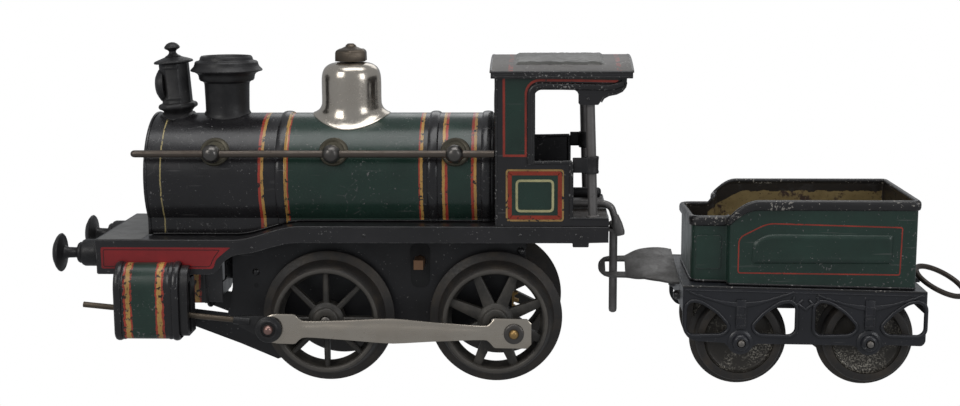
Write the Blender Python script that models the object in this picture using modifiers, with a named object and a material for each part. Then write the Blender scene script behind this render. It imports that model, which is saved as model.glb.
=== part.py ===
"""Gauge 1 tinplate clockwork locomotive with its four-wheel tender.

The constants are in millimetres. X runs backwards along the train from the rear driving axle,
Y runs to the far (right-hand) side, and Z runs up from the rail that the wheels stand on.
The front of the engine points towards -X.
"""
from math import asin, atan2, cos, degrees, hypot, pi, radians, sin, sqrt

import bmesh
import bpy
from mathutils import Matrix, Vector

MM = 0.001
GAP = 0.3                      # air left between two pieces that rest on each other

# Running gear
WHEELBASE = 68.0
DRIVER_R = 26.8                # over the flange
TREAD_R = 23.2
FLANGE_Y = 21.9
WHEEL_FACE_Y = 31.3
AXLE_R = 2.0
SHAFT_CLEARANCE = 0.25
CRANK_THROW = 8.35
CRANK_ANGLE_LEFT = radians(-26)
CRANK_ANGLE_RIGHT = CRANK_ANGLE_LEFT + pi / 2
ROD_CENTRES = 97.6
ROD_RISE = 1.5                 # the crosshead pin sits this much above the crank pin
ROD_Y = 35.3
ROD_THICKNESS = 1.2
PISTON_ROD_Y = 33.4
PISTON_ROD_R = 1.2
PISTON_SLOPE = 0.0985

# Engine frame and body
PLATE_Y = 18.0
SHEET = 0.8
BOARD_HALF_WIDTH = 30.9
DECK_Z = 59.7
BOARD_Z = 65.3
STEP_X = (-105.0, -78.0)       # where the running board climbs over the wheels
BEAM_X = -160.1
BUFFER_X = -180.1
BUFFER_Y = 21.5
BUFFER_Z = 52.6
BUFFER_HEAD_R = 7.85
BUFFER_STOCK_R = 5.5
BUFFER_STEM_R = 2.15
BOILER_Z = 82.0
BOILER_R = 25.36
BOILER_FRONT_X = -141.1
BAND_XS = (-86.0, -25.1, -3.7)
CHIMNEY_X = -111.4
DOME_X = -59.8
LAMP_X = -131.9
LAMP_FOOT_Z = 108.0
LAMP_LEAN = radians(-4)
RAIL_Y = 29.0
RAIL_Z = 94.0
RAIL_FRONT_X = -144.7
KNOB_XS = (-112.4, -64.6, -15.9)
CYLINDER_X = (-150.9, -125.5)
CYLINDER_Z = (20.5, 50.8)

# Cab
CAB_HALF_WIDTH = 30.0
CAB_SHEET = 0.6
CAB_DOOR_X = 30.3
CAB_REAR_X = 44.9
CAB_FLOOR_Z = 68.4
ROOF_X = (-1.9, 54.0)
ROOF_CROWN_Z = 131.0
ROOF_HALF_WIDTH = 32.0
ROOF_RISE = 4.4
SIDE_TOP_Z = 125.4
EAVE_Z = 123.8
SILL_Z = {"left": 91.4, "right": 95.0}
POST_X = {"left": 37.8, "right": 36.8}
POST_Y = 27.0
POST_R = 1.9
DRAW_PIN_X = 48.1
DRAW_PIN_R = 1.7
TONGUE_Z = 43.4
TONGUE_TWIST = radians(7)
LEVER_Y = -5.0
LEVER_R = 1.55

# Clockwork
MODULE = 1.0
ARBOR_X, ARBOR_Z = -30.8, 49.0
GREAT_TEETH = 42
PINION_TEETH = 12
IDLER_TEETH = 24
AXLE_GEAR_TEETH = 16
GEAR_THICKNESS = 1.6
GREAT_WHEEL_Y = 6.5
IDLER_Y = 11.5
RATCHET_Y = 4.4
MAINSPRING_Y = -3.4
ARBOR_R = 2.0
SPINDLE_R = 1.3
CLICK_OFFSET = (12.6, -2.0)    # click pivot, from the winding arbor

# Tender
TENDER_AXLES = (97.2, 147.6)
TENDER_WHEEL_R = 19.4
TENDER_AXLE_R = 1.4
TENDER_AXLE_REACH = 35.5
TUB_X = (92.0, 165.6)
TUB_NOSE_X = 78.0
TUB_HALF_WIDTH = 29.5
NOSE_HALF_WIDTH = 24.0
TUB_Z = (42.3, 76.2)
NOSE_CORNER_R = 4.5
NOSE_TOP_Z = 68.4
FRAME_X = (74.2, 169.7)
FRAME_HALF_WIDTH = 31.4
FRAME_TOP_Z = 42.0
FLOOR_FALL = 0.022             # the footplate runs down towards the back
LOOP_ROOT = (172.87, 41.6)
LOOP_DROOP = radians(22.5)
LOOP_ROLL = radians(15)
LOOP_R = 10.75
LOOP_WIDTH = 2.2
LOOP_THICKNESS = 2.0

LOOP_REACH = hypot(cos(LOOP_DROOP), sin(LOOP_DROOP) * sin(LOOP_ROLL))
REAR_END_X = (LOOP_ROOT[0] + LOOP_R * cos(LOOP_DROOP) + (LOOP_R + LOOP_WIDTH / 2) * LOOP_REACH
              + LOOP_THICKNESS / 2 * sin(LOOP_DROOP) * cos(LOOP_ROLL))
CENTRE_X = (BUFFER_X + REAR_END_X) / 2

# Paint and metal: colour, roughness, metallic
FINISHES = {
    "black": ((0.012, 0.012, 0.014), 0.35, 0.0),
    "green": ((0.010, 0.045, 0.030), 0.35, 0.0),
    "red": ((0.45, 0.020, 0.015), 0.40, 0.0),
    "nickel": ((0.62, 0.57, 0.50), 0.25, 1.0),
    "steel": ((0.25, 0.23, 0.22), 0.45, 1.0),
    "brass": ((0.65, 0.42, 0.15), 0.30, 1.0),
    "bronze": ((0.30, 0.18, 0.12), 0.45, 1.0),
    "iron": ((0.055, 0.055, 0.060), 0.50, 0.3),
    "grey": ((0.16, 0.15, 0.14), 0.60, 0.1),
}


SIDES = {"left": -1, "right": 1}
AXIS_TURN = {"Z": (0, 0, 0), "Y": (-pi / 2, 0, 0), "X": (0, pi / 2, 0), "-Y": (pi / 2, 0, 0),
             "-X": (0, -pi / 2, 0)}
PLANE_TURN = {"XY": (0, 0, 0), "XZ": (pi / 2, 0, 0), "YZ": (pi / 2, 0, pi / 2)}


# ---------------------------------------------------------------- scene

def clear_scene():
    for obj in list(bpy.data.objects):
        bpy.data.objects.remove(obj, do_unlink=True)


def new_collection(name):
    collection = bpy.data.collections.new(name)
    bpy.context.scene.collection.children.link(collection)
    return collection


clear_scene()
PARTS = new_collection("tinplate_locomotive")
CUTTERS = new_collection("cutters")

datum = bpy.data.objects.new("rear_axle_datum", None)
datum.location = (-CENTRE_X * MM, 0, 0)
PARTS.objects.link(datum)


def add(name, mesh, at=(0, 0, 0), turn=None):
    """Links a mesh made in metres, with its origin at a place given in millimetres."""
    obj = bpy.data.objects.new(name, mesh)
    PARTS.objects.link(obj)
    obj.parent = datum
    obj.location = Vector(at) * MM
    if turn is not None:
        obj.rotation_euler = turn
    return obj


def make_cutter(obj):
    PARTS.objects.unlink(obj)
    CUTTERS.objects.link(obj)
    obj.hide_render = True
    obj.display_type = "WIRE"


def boolean(obj, other, operation):
    modifier = obj.modifiers.new(other.name, "BOOLEAN")
    modifier.operation = operation
    modifier.solver = "EXACT"
    modifier.object = other
    make_cutter(other)
    return obj


def cut(obj, *others):
    for other in others:
        boolean(obj, other, "DIFFERENCE")
    return obj


def join(obj, *others):
    for other in others:
        boolean(obj, other, "UNION")
    return obj


def finish(obj, finish_name, smooth_angle=35):
    """Gives a node its own material and smooths its round faces."""
    colour, roughness, metallic = FINISHES[finish_name]
    material = bpy.data.materials.new(obj.name)
    material.use_nodes = True
    shader = material.node_tree.nodes["Principled BSDF"]
    shader.inputs["Base Color"].default_value = (*colour, 1)
    shader.inputs["Roughness"].default_value = roughness
    shader.inputs["Metallic"].default_value = metallic
    obj.data.materials.clear()
    obj.data.materials.append(material)
    obj.data.shade_smooth()
    obj.data.set_sharp_from_angle(angle=radians(smooth_angle))
    return obj


# ---------------------------------------------------------------- shapes

def box(name, x, y, z):
    """A block between two limits along each axis."""
    mesh = bpy.data.meshes.new(name)
    shape = bmesh.new()
    bmesh.ops.create_cube(shape, size=1)
    size = [abs(high - low) * MM for low, high in (x, y, z)]
    bmesh.ops.scale(shape, vec=size, verts=shape.verts)
    shape.to_mesh(mesh)
    shape.free()
    return add(name, mesh, [(low + high) / 2 for low, high in (x, y, z)])


def cylinder(name, radius, length, at, axis="Y", segments=24):
    """A plain round bar whose middle is at the given place."""
    mesh = bpy.data.meshes.new(name)
    shape = bmesh.new()
    bmesh.ops.create_cone(shape, cap_ends=True, segments=segments,
                          radius1=radius * MM, radius2=radius * MM, depth=length * MM)
    shape.to_mesh(mesh)
    shape.free()
    return add(name, mesh, at, AXIS_TURN[axis])


def turned(name, profile, at, axis="Z", segments=32):
    """A lathe-turned piece. The profile is (radius, height) from the top down its outer side."""
    mesh = bpy.data.meshes.new(name)
    points = [(radius * MM, 0, height * MM) for radius, height in profile]
    closed = profile[0][0] > 0 or profile[-1][0] > 0
    count = len(points)
    edges = [(i, (i + 1) % count) for i in range(count if closed else count - 1)]
    mesh.from_pydata(points, edges, [])
    obj = add(name, mesh, at, AXIS_TURN[axis])
    screw = obj.modifiers.new("turn", "SCREW")
    screw.axis = "Z"
    screw.angle = 2 * pi
    screw.steps = segments
    screw.render_steps = segments
    screw.use_merge_vertices = True
    screw.merge_threshold = 0.00001
    return solid(obj)


def solid(obj):
    """Replaces a curve or a modified object by its welded mesh, in the same place."""
    bpy.context.view_layer.update()
    graph = bpy.context.evaluated_depsgraph_get()
    mesh = bpy.data.meshes.new_from_object(obj.evaluated_get(graph))
    shape = bmesh.new()
    shape.from_mesh(mesh)
    bmesh.ops.remove_doubles(shape, verts=shape.verts, dist=0.000002)
    bmesh.ops.recalc_face_normals(shape, faces=shape.faces)
    shape.to_mesh(mesh)
    shape.free()
    name, location, rotation = obj.name, obj.location.copy(), obj.rotation_euler.copy()
    bpy.data.objects.remove(obj, do_unlink=True)
    mesh.name = name
    return add(name, mesh, location / MM, rotation)


def plate(name, outline, thickness, plane="XZ", level=0.0, at=(0, 0, 0), holes=()):
    """A flat outline, in millimetres, given a thickness about its level along the normal."""
    curve = bpy.data.curves.new(name, "CURVE")
    curve.dimensions = "2D"
    curve.fill_mode = "BOTH"
    curve.extrude = thickness / 2 * MM
    for loop in (outline, *holes):
        spline = curve.splines.new("POLY")
        spline.points.add(len(loop) - 1)
        for point, (u, v) in zip(spline.points, loop):
            point.co = (u * MM, v * MM, 0, 1)
        spline.use_cyclic_u = True
    place = Vector(at) + {"XY": Vector((0, 0, level)), "XZ": Vector((0, level, 0)),
                          "YZ": Vector((level, 0, 0))}[plane]
    return solid(add(name, curve, place, PLANE_TURN[plane]))


def arc(centre, radius, start, end, count):
    """Points along an arc between two angles in degrees."""
    turns = [radians(start + (end - start) * i / count) for i in range(count + 1)]
    return [(centre[0] + radius * cos(t), centre[1] + radius * sin(t)) for t in turns]


def circle(centre, radius, count=20):
    return arc(centre, radius, 0, 360, count)[:-1]


def rod(name, points, radius, resolution=3):
    """A bent wire or tube through the given points."""
    curve = bpy.data.curves.new(name, "CURVE")
    curve.dimensions = "3D"
    curve.bevel_depth = radius * MM
    curve.bevel_resolution = resolution
    curve.use_fill_caps = True
    spline = curve.splines.new("POLY")
    spline.points.add(len(points) - 1)
    for point, place in zip(spline.points, points):
        point.co = (*[value * MM for value in place], 1)
    return solid(add(name, curve))


def gear_outline(teeth, phase=0.0):
    """Straight-sided teeth, thin enough to run with generous backlash."""
    pitch_r = teeth * MODULE / 2
    step = 2 * pi / teeth
    points = []
    for index in range(teeth):
        middle = phase + index * step
        for offset, radius in ((-0.24, -1.15), (-0.10, 0.75), (0.10, 0.75), (0.24, -1.15)):
            turn = middle + offset * step
            points.append(((pitch_r + radius * MODULE) * cos(turn),
                           (pitch_r + radius * MODULE) * sin(turn)))
    return points


def gear_triangle():
    """Centre of the idler arbor, above the line from the winding arbor to the driving axle."""
    great_to_idler = (GREAT_TEETH + PINION_TEETH) * MODULE / 2
    idler_to_axle = (IDLER_TEETH + AXLE_GEAR_TEETH) * MODULE / 2
    span = hypot(ARBOR_X, ARBOR_Z - DRIVER_R)
    along = (great_to_idler ** 2 - idler_to_axle ** 2 + span ** 2) / (2 * span)
    above = sqrt(great_to_idler ** 2 - along ** 2)
    unit = (-ARBOR_X / span, (DRIVER_R - ARBOR_Z) / span)
    return (ARBOR_X + along * unit[0] - above * unit[1], ARBOR_Z + along * unit[1] + above * unit[0])


IDLER_AT = gear_triangle()


def board_height(x):
    """Top of the running board, which climbs in a smooth S from the front deck."""
    t = min(max((x - STEP_X[0]) / (STEP_X[1] - STEP_X[0]), 0), 1)
    return DECK_Z + (BOARD_Z - DECK_Z) * t * t * (3 - 2 * t)


def step_points(offset, count=6):
    xs = [STEP_X[0] + (STEP_X[1] - STEP_X[0]) * i / count for i in range(count + 1)]
    return [(x, board_height(x) + offset) for x in xs]


# ---------------------------------------------------------------- frame

def make_running_board():
    """One folded sheet: the top, two side valances and the front and rear beams."""
    top = [(BEAM_X, DECK_Z), *step_points(0), (CAB_REAR_X, BOARD_Z)]
    under = [(x, z - SHEET) for x, z in reversed(top)]
    board = plate("running_board", top + under, 2 * BOARD_HALF_WIDTH + 0.2, "XZ")
    inside = SHEET / 3             # the folds end within the top sheet
    front, rear = BEAM_X + 0.1, CAB_REAR_X - 0.1
    valance = [(front, DECK_Z - inside), (front, 45.5), (-112.0, 45.5), (-109.5, 48.5), (-108.0, 52.0),
               (-104.0, 53.6), (-97.0, 54.3), (-90.0, 56.4), (-82.0, 58.6), (30.6, 58.8), (30.6, 57.2),
               (37.0, 57.2), (37.0, 58.9), (rear, 59.1), (rear, BOARD_Z - inside),
               *reversed(step_points(-inside))]
    for name, side in SIDES.items():
        level = side * (BOARD_HALF_WIDTH - SHEET / 2)
        join(board, plate(f"valance_{name}", valance, SHEET, "XZ", level))
    half = BOARD_HALF_WIDTH - 0.2
    beam_top = DECK_Z - 1.5 * inside
    join(board, box("front_beam", (front + 0.1, front + SHEET), (-half, half), (45.7, beam_top)))
    rear_top = BOARD_Z - 1.5 * inside
    join(board, box("rear_beam", (rear - SHEET, rear - 0.1), (-half, half), (59.0, rear_top)))
    cut(board, box("motor_slot", (-70, 22), (-PLATE_Y + 1.2, PLATE_Y - 1.2), (60, 70)))
    return finish(board, "black")


def make_side_plates():
    """Two clockwork plates, with a low arm at the front that carries the cylinders."""
    top = 57.9
    outline = [(-107.4, top), (-107.9, 37.7), (-110.2, 26.8), (-125.2, 28.6), (-125.0, 21.6),
               (-105.0, 14.0), (-90.0, 7.6), (-84.0, 9.5), (-79.0, 16.0), (-72.0, 19.5),
               (-60.0, 20.5), (-4.0, 20.5), *arc((0, DRIVER_R), 6.4, -90, 0, 6),
               (6.4, 40.0), (12.0, 48.0), (12.0, top)]
    front = circle((-WHEELBASE, DRIVER_R), AXLE_R + SHAFT_CLEARANCE)
    rear = circle((0, DRIVER_R), AXLE_R + SHAFT_CLEARANCE)
    arbor = circle((ARBOR_X, ARBOR_Z), ARBOR_R + SHAFT_CLEARANCE)
    idler = circle(IDLER_AT, SPINDLE_R + SHAFT_CLEARANCE, 16)
    for name, side in SIDES.items():
        plate_piece = plate(f"mechanism_plate_{name}", outline, SHEET, "XZ", side * PLATE_Y,
                            holes=(front, rear, arbor, idler))
        finish(plate_piece, "black")


def make_spacers():
    """Shouldered pillars that hold the two plates apart."""
    length = 2 * PLATE_Y - SHEET - 2 * GAP
    for name, x, z in (("front", -98.0, 44.0), ("rear", 9.9, 53.2)):
        spacer = cylinder(f"plate_spacer_{name}", 1.8, length, (x, 0, z), "Y", 16)
        finish(spacer, "steel")


def make_cylinder_bracket():
    """A cross strap behind the cylinders, bent down to the plates' front arms."""
    outline = [(-23.6, 50.0), (-23.6, 31.5), (-19.2, 29.4), (19.2, 29.4), (23.6, 31.5), (23.6, 50.0),
               (17.0, 58.4), (-17.0, 58.4)]
    window = [(-11.0, 35.0), (11.0, 35.0), (11.0, 54.0), (-11.0, 54.0)]
    finish(plate("cylinder_bracket", outline, SHEET, "YZ", -117.0, holes=(window,)), "black")


def cylinder_outline(side, inset=0.0):
    """Cross-section: it hangs below the valance and swells up outside it to a rounded top."""
    outer, valance_y = 39.6 - inset, BOARD_HALF_WIDTH + 0.5 + inset
    inner = 24.0 if inset == 0 else 23.0
    bottom, shoulder, spring_z = CYLINDER_Z[0] + inset, 45.0 - inset, 40.0
    rise = CYLINDER_Z[1] - inset - spring_z
    points = [(inner, bottom), (outer - 2, bottom), (outer, bottom + 2)]
    for index in range(6):
        turn = pi / 2 * index / 5
        points.append((valance_y + (outer - valance_y) * cos(turn), spring_z + rise * sin(turn)))
    points += [(valance_y, shoulder), (inner, shoulder)]
    return [(side * y, z) for y, z in points]


def make_cylinders():
    """Hollow tin cylinders. Tall slots in the ends let the piston rod rise and fall."""
    low, high = CYLINDER_X
    for name, side in SIDES.items():
        length, middle = high - low, (low + high) / 2
        body = plate(f"cylinder_{name}", cylinder_outline(side), length, "YZ", middle)
        hollow = plate(f"cylinder_hollow_{name}", cylinder_outline(side, SHEET),
                       length - 2 * SHEET, "YZ", middle)
        cut(body, hollow)
        for x, slot_z in ((low, (25.2, 46.0)), (high, (22.7, 43.5))):
            y = sorted((side * (PISTON_ROD_Y - 2.0), side * (PISTON_ROD_Y + 2.0)))
            cut(body, box(f"rod_slot_{name}_{int(-x)}", (x - 2, x + 2), y, slot_z))
        finish(body, "green")


def make_buffers():
    stock_length = BEAM_X - GAP - BUFFER_X
    profile = [(0, stock_length), (4.4, stock_length - 0.6), (BUFFER_HEAD_R, stock_length - 2.2),
               (BUFFER_HEAD_R - 0.3, stock_length - 2.9), (BUFFER_STEM_R, stock_length - 4.4),
               (BUFFER_STEM_R, 9.4), (3.6, 9.0), (BUFFER_STOCK_R, 7.2), (BUFFER_STOCK_R, 0), (0, 0)]
    for name, side in SIDES.items():
        buffer = turned(f"buffer_{name}", profile, (BEAM_X - GAP, side * BUFFER_Y, BUFFER_Z), "-X", 20)
        finish(buffer, "iron")


# ---------------------------------------------------------------- boiler

def boiler_outline(radius, foot_z, steps=26):
    """Circle whose lower part runs straight down as a saddle."""
    tangent_z = 66.8
    reach = asin((tangent_z - BOILER_Z) / radius)
    start = degrees(reach)
    side_y = radius * cos(reach)
    curve = arc((0, BOILER_Z), radius, start, 180 - start, steps)
    return [(side_y, foot_z), *curve, (-side_y, foot_z)]


def make_boiler():
    """Boiler and smokebox wrapper, open underneath for the clockwork, with raised bands."""
    length = -GAP - BOILER_FRONT_X
    middle = (BOILER_FRONT_X - GAP) / 2
    wall = 0.7
    outer = boiler_outline(BOILER_R, DECK_Z + GAP)
    inner = boiler_outline(BOILER_R - wall, DECK_Z - 1)
    shell = plate("boiler_shell", outer, length, "YZ", middle)
    for x in BAND_XS:
        join(shell, plate(f"band_{int(-x)}", boiler_outline(BOILER_R + 0.8, DECK_Z + GAP), 3.4, "YZ", x))
    front_rim = boiler_outline(BOILER_R + 0.5, DECK_Z + GAP)
    join(shell, plate("front_rim", front_rim, 1.4, "YZ", BOILER_FRONT_X + 0.7))
    cut(shell, plate("boiler_hollow", inner, length + 10, "YZ", middle))
    step = [(-150, 40), (5, 40), (5, BOARD_Z + GAP), *reversed(step_points(GAP)), (-150, DECK_Z + GAP)]
    cut(shell, plate("board_clearance", step, 90, "XZ"))
    finish(shell, "green")


def make_smokebox_front():
    """Front plate with a domed door, its strap ring and a closing handle."""
    outline = boiler_outline(BOILER_R - 1.1, DECK_Z + GAP)
    front = plate("smokebox_front", outline, SHEET, "YZ", BOILER_FRONT_X + 1.6)
    door = turned("smokebox_door", [(0, 2.8), (6, 2.6), (12, 1.9), (17.5, 0.9), (18.4, 0), (18.4, -0.6),
                                    (0, -0.6)], (BOILER_FRONT_X + 1.4, 0, BOILER_Z), "-X", 24)
    handle = turned("door_handle", [(0, 4.2), (1.2, 4.0), (1.6, 3.2), (1.2, 2.4), (1.2, 0), (0, 0)],
                    (BOILER_FRONT_X + 0.2, 0, BOILER_Z), "-X", 10)
    join(front, door, handle)
    finish(front, "black")


def seat_on_boiler(obj, x, length=60):
    """Cuts the foot of a fitting to the boiler's curve."""
    return cut(obj, cylinder(f"seat_{obj.name}", BOILER_R + GAP, length, (x, 0, BOILER_Z), "X", 48))


def make_chimney():
    top = 131.0
    profile = [(8.4, top), (10.2, top), (10.6, 128.9), (13.2, 127.6), (14.7, 125.5), (11.6, 124.0),
               (11.4, 121.6), (9.3, 120.0), (8.75, 103.0), (7.6, 103.0), (7.9, 119.0)]
    profile = [(r, z - 100) for r, z in profile]
    chimney = turned("chimney", profile, (CHIMNEY_X, 0, 100), "Z", 24)
    finish(seat_on_boiler(chimney, CHIMNEY_X), "iron")


def make_dome():
    """Spun dome, hollow, open under its flared foot, with a hexagon nut on top."""
    outer = [(0, 128.4), (5.0, 128.3), (8.5, 127.6), (10.8, 126.0), (11.9, 123.5), (12.2, 120.0),
             (12.2, 112.0), (13.0, 109.5), (15.2, 107.0), (15.5, 99.0)]
    inner = [(14.7, 99.0), (14.4, 106.4), (12.0, 109.4), (11.3, 112.0), (11.2, 122.8), (9.8, 125.2),
             (7.8, 126.6), (0, 127.3)]
    profile = [(r, z - 100) for r, z in outer + inner]
    dome = turned("dome", profile, (DOME_X, 0, 100), "Z", 24)
    finish(seat_on_boiler(dome, DOME_X), "nickel")
    nut = cylinder("dome_nut", 7.1, 5.2, (DOME_X, 0, 131.2 + GAP), "Z", 6)
    nut.rotation_euler.z = radians(30)
    crown = [(0, 4.5), (3.0, 4.2), (5.0, 3.3), (5.6, 2.4), (0, 2.4)]
    finish(join(nut, turned("nut_crown", crown, (DOME_X, 0, 131.2 + GAP), "Z", 24)), "bronze")


def make_headlamp():
    """Eight-sided lantern with a flared roof, a ball finial, a bull's-eye lens and a saddle foot."""
    profile = [(0, 28.6), (2.0, 28.1), (2.8, 26.6), (1.6, 25.1), (1.5, 24.2), (4.6, 22.6), (8.0, 21.2),
               (8.0, 20.5), (6.5, 20.1), (6.5, 3.5), (7.6, 2.6), (7.6, 1.6), (5.2, 0.4), (5.2, -4.0),
               (0, -4.0)]
    body = turned("headlamp", profile, (LAMP_X, 0, LAMP_FOOT_Z), "Z", 8)
    body.data.transform(Matrix.Rotation(radians(22.5), 4, "Z"))
    body.rotation_euler.y = LAMP_LEAN
    lens_height = 11.2
    at = (LAMP_X + lens_height * sin(LAMP_LEAN), 0, LAMP_FOOT_Z + lens_height * cos(LAMP_LEAN))
    lens = turned("lamp_lens", [(0, 8.4), (3.0, 8.1), (5.4, 7.3), (6.4, 6.2), (6.6, 5.0), (6.6, 0), (0, 0)],
                  at, "-X", 20)
    lens.rotation_euler.y += LAMP_LEAN
    join(body, lens)
    finish(seat_on_boiler(body, LAMP_X), "iron")


def make_handrails():
    """Each rail carries three turned knobs whose stems reach the boiler."""
    seat_y = sqrt(BOILER_R ** 2 - (RAIL_Z - BOILER_Z) ** 2)
    for name, side in SIDES.items():
        start, end = RAIL_FRONT_X, -GAP
        rail = cylinder(f"handrail_{name}", 1.45, end - start, ((start + end) / 2, side * RAIL_Y, RAIL_Z),
                        "X", 12)
        stem = RAIL_Y - seat_y - 0.8
        for index, x in enumerate(KNOB_XS):
            profile = [(0, stem + 3.7), (2.6, stem + 2.7), (3.7, stem), (2.6, stem - 2.5),
                       (1.5, stem - 3.0), (1.5, 0.7), (3.4, 0.4), (3.4, -0.1), (0, -0.1)]
            knob = turned(f"knob_{name}_{index}", profile, (x, side * (RAIL_Y - stem), RAIL_Z),
                          "Y" if side > 0 else "-Y", 10)
            join(rail, knob)
        finish(seat_on_boiler(rail, (start + end) / 2, 150), "steel")


# ---------------------------------------------------------------- cab

def roof_height(y, offset=0.0):
    radius = (ROOF_HALF_WIDTH ** 2 + ROOF_RISE ** 2) / (2 * ROOF_RISE)
    return ROOF_CROWN_Z + offset - radius + sqrt(radius ** 2 - y ** 2)


def roof_line(half_width, offset, count=16):
    ys = [half_width * (1 - 2 * i / count) for i in range(count + 1)]
    return [(y, roof_height(y, offset)) for y in ys]


def side_sheet_outline(low, sill):
    """Side sheet with its window, from the cab front to the canopy's scrolled bracket."""
    return [(0, low), (CAB_REAR_X, low), (CAB_REAR_X, CAB_FLOOR_Z), (CAB_DOOR_X, CAB_FLOOR_Z),
            (CAB_DOOR_X, sill), (15.5, sill), *reversed(arc((17.7, 117.1), 2.2, 90, 180, 4)),
            *reversed(arc((31.0, 117.8), 1.5, 0, 90, 3)), (32.6, 113.4), (40.8, 113.4), (41.7, 116.0),
            (44.1, 117.6), (47.6, 118.2), (50.3, 119.6), (51.5, 122.0), (51.5, SIDE_TOP_Z), (0, SIDE_TOP_Z)]


def make_cab():
    """Two side sheets, a front sheet with round windows, a floor and a rear skirt."""
    low = BOARD_Z + GAP
    half = CAB_HALF_WIDTH
    spectacles = [circle((side * 16.5, 113.2), 5.0, 20) for side in SIDES.values()]
    front = [(-half, low), (half, low), *roof_line(half, -1.6)]
    cab = plate("cab", front, CAB_SHEET, "YZ", CAB_SHEET / 2, holes=spectacles)
    for name, side in SIDES.items():
        outline = side_sheet_outline(low, SILL_Z[name])
        join(cab, plate(f"cab_side_{name}", outline, CAB_SHEET, "XZ", side * (half - CAB_SHEET / 2)))
    join(cab, box("cab_floor", (0.3, CAB_REAR_X), (-half, half), (CAB_FLOOR_Z - SHEET, CAB_FLOOR_Z)))
    join(cab, box("cab_skirt", (CAB_REAR_X - SHEET, CAB_REAR_X), (-half, half), (low, CAB_FLOOR_Z)))
    cut(cab, box("firebox_opening", (-2, 26), (-15.5, 15.5), (50, 72)))
    finish(cab, "green")


def make_roof():
    """Arched sheet with turned-down eaves, and a raised ventilator slide on its crown."""
    half = ROOF_HALF_WIDTH
    length, middle = ROOF_X[1] - ROOF_X[0], (ROOF_X[0] + ROOF_X[1]) / 2
    upper, lower = roof_line(half, 0), roof_line(half - SHEET, -SHEET)
    outline = [*upper, (-half, EAVE_Z), (-half + SHEET, EAVE_Z), *reversed(lower),
               (half - SHEET, EAVE_Z), (half, EAVE_Z)]
    finish(plate("cab_roof", outline, length, "YZ", middle), "grey")
    slide_top, slide_foot = roof_line(23.4, 1.0, 10), roof_line(24.0, GAP, 10)
    slide = plate("roof_ventilator", [*slide_top, *reversed(slide_foot)], 35.5, "YZ", 25.4)
    finish(slide, "grey")


def make_cab_posts():
    """Tube pillars under the roof, each with a collar and a strap to the side sheet."""
    low, high = CAB_FLOOR_Z + GAP, SIDE_TOP_Z
    for name, side in SIDES.items():
        x, y = POST_X[name], side * POST_Y
        strap_low, strap_high = SILL_Z[name] - 5.0, SILL_Z[name] + 1.4
        post = cylinder(f"cab_post_{name}", POST_R, high - low, (x, y, (low + high) / 2), "Z", 12)
        collar_z = (strap_low + strap_high) / 2
        collar_height = strap_high - strap_low + 0.4
        collar = cylinder(f"post_collar_{name}", POST_R + 0.8, collar_height, (x, y, collar_z), "Z", 12)
        ends = sorted((side * (POST_Y + 1.4), side * (POST_Y + 2.2)))
        strap = box(f"post_strap_{name}", (CAB_DOOR_X + GAP, x), ends, (strap_low, strap_high))
        finish(join(post, collar, strap), "iron")


def make_controls():
    """Push-pull reversing rod with a flattened handle, and a short brake knob beside it."""
    bend = [(CAB_DOOR_X - 4, 70.5), (44.2, 70.5), (45.9, 69.9), (47.2, 68.4), (48.0, 66.4), (48.4, 64.2),
            (48.6, 62.6)]
    lever = rod("reversing_lever", [(x, LEVER_Y, z) for x, z in bend], LEVER_R)
    spade = [(46.6, 65.0), (50.1, 64.7), (52.8, 57.9), (49.4, 56.8), (48.6, 59.5), (46.9, 61.2)]
    join(lever, plate("lever_spade", spade, 2.4, "XZ", LEVER_Y))
    finish(lever, "iron")
    knob = turned("brake_knob", [(0, 15.7), (1.6, 15.5), (2.2, 14.9), (2.2, 3.0), (1.2, 2.4), (1.2, 0),
                                 (0, 0)], (27.5, 8.0, 73.0), "X", 16)
    finish(knob, "black")


def make_draw_pin():
    """Round pin that the tender's drawbar drops over, riveted to a small angle on the rear beam."""
    lug = box("drawbar_pin", (CAB_REAR_X + GAP, DRAW_PIN_X + 2.4), (-3, 3), (57.6, 59.6))
    web = box("draw_pin_web", (CAB_REAR_X + GAP, CAB_REAR_X + 1.1), (-3, 3), (57.6, 64.6))
    shank = turned("draw_pin_shank", [(0, 38.4), (DRAW_PIN_R, 38.4), (DRAW_PIN_R, 1.0), (1.1, 0), (0, 0)],
                   (DRAW_PIN_X, 0, 23.7), "Z", 16)
    finish(join(lug, web, shank), "steel")


# ---------------------------------------------------------------- driving gear

def wheel_windows(name, count, inner, outer, spoke, phase):
    """One cutter holding the wedge-shaped openings between the spokes."""
    shape = bmesh.new()
    depth = 16
    for index in range(count):
        middle = 360 / count * (index + 0.5) + phase
        half_out = 180 / count - degrees(asin(spoke / 2 / outer))
        half_in = 180 / count - degrees(asin(spoke / 2 / inner))
        loop = arc((0, 0), outer, middle - half_out, middle + half_out, 3)
        loop += arc((0, 0), inner, middle + half_in, middle - half_in, 1)
        base = [shape.verts.new((x * MM, y * MM, -depth / 2 * MM)) for x, y in loop]
        face = shape.faces.new(base)
        grown = bmesh.ops.extrude_face_region(shape, geom=[face])["geom"]
        moved = [item for item in grown if isinstance(item, bmesh.types.BMVert)]
        bmesh.ops.translate(shape, vec=(0, 0, depth * MM), verts=moved)
    bmesh.ops.recalc_face_normals(shape, faces=shape.faces)
    mesh = bpy.data.meshes.new(name)
    shape.to_mesh(mesh)
    shape.free()
    return mesh


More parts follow.
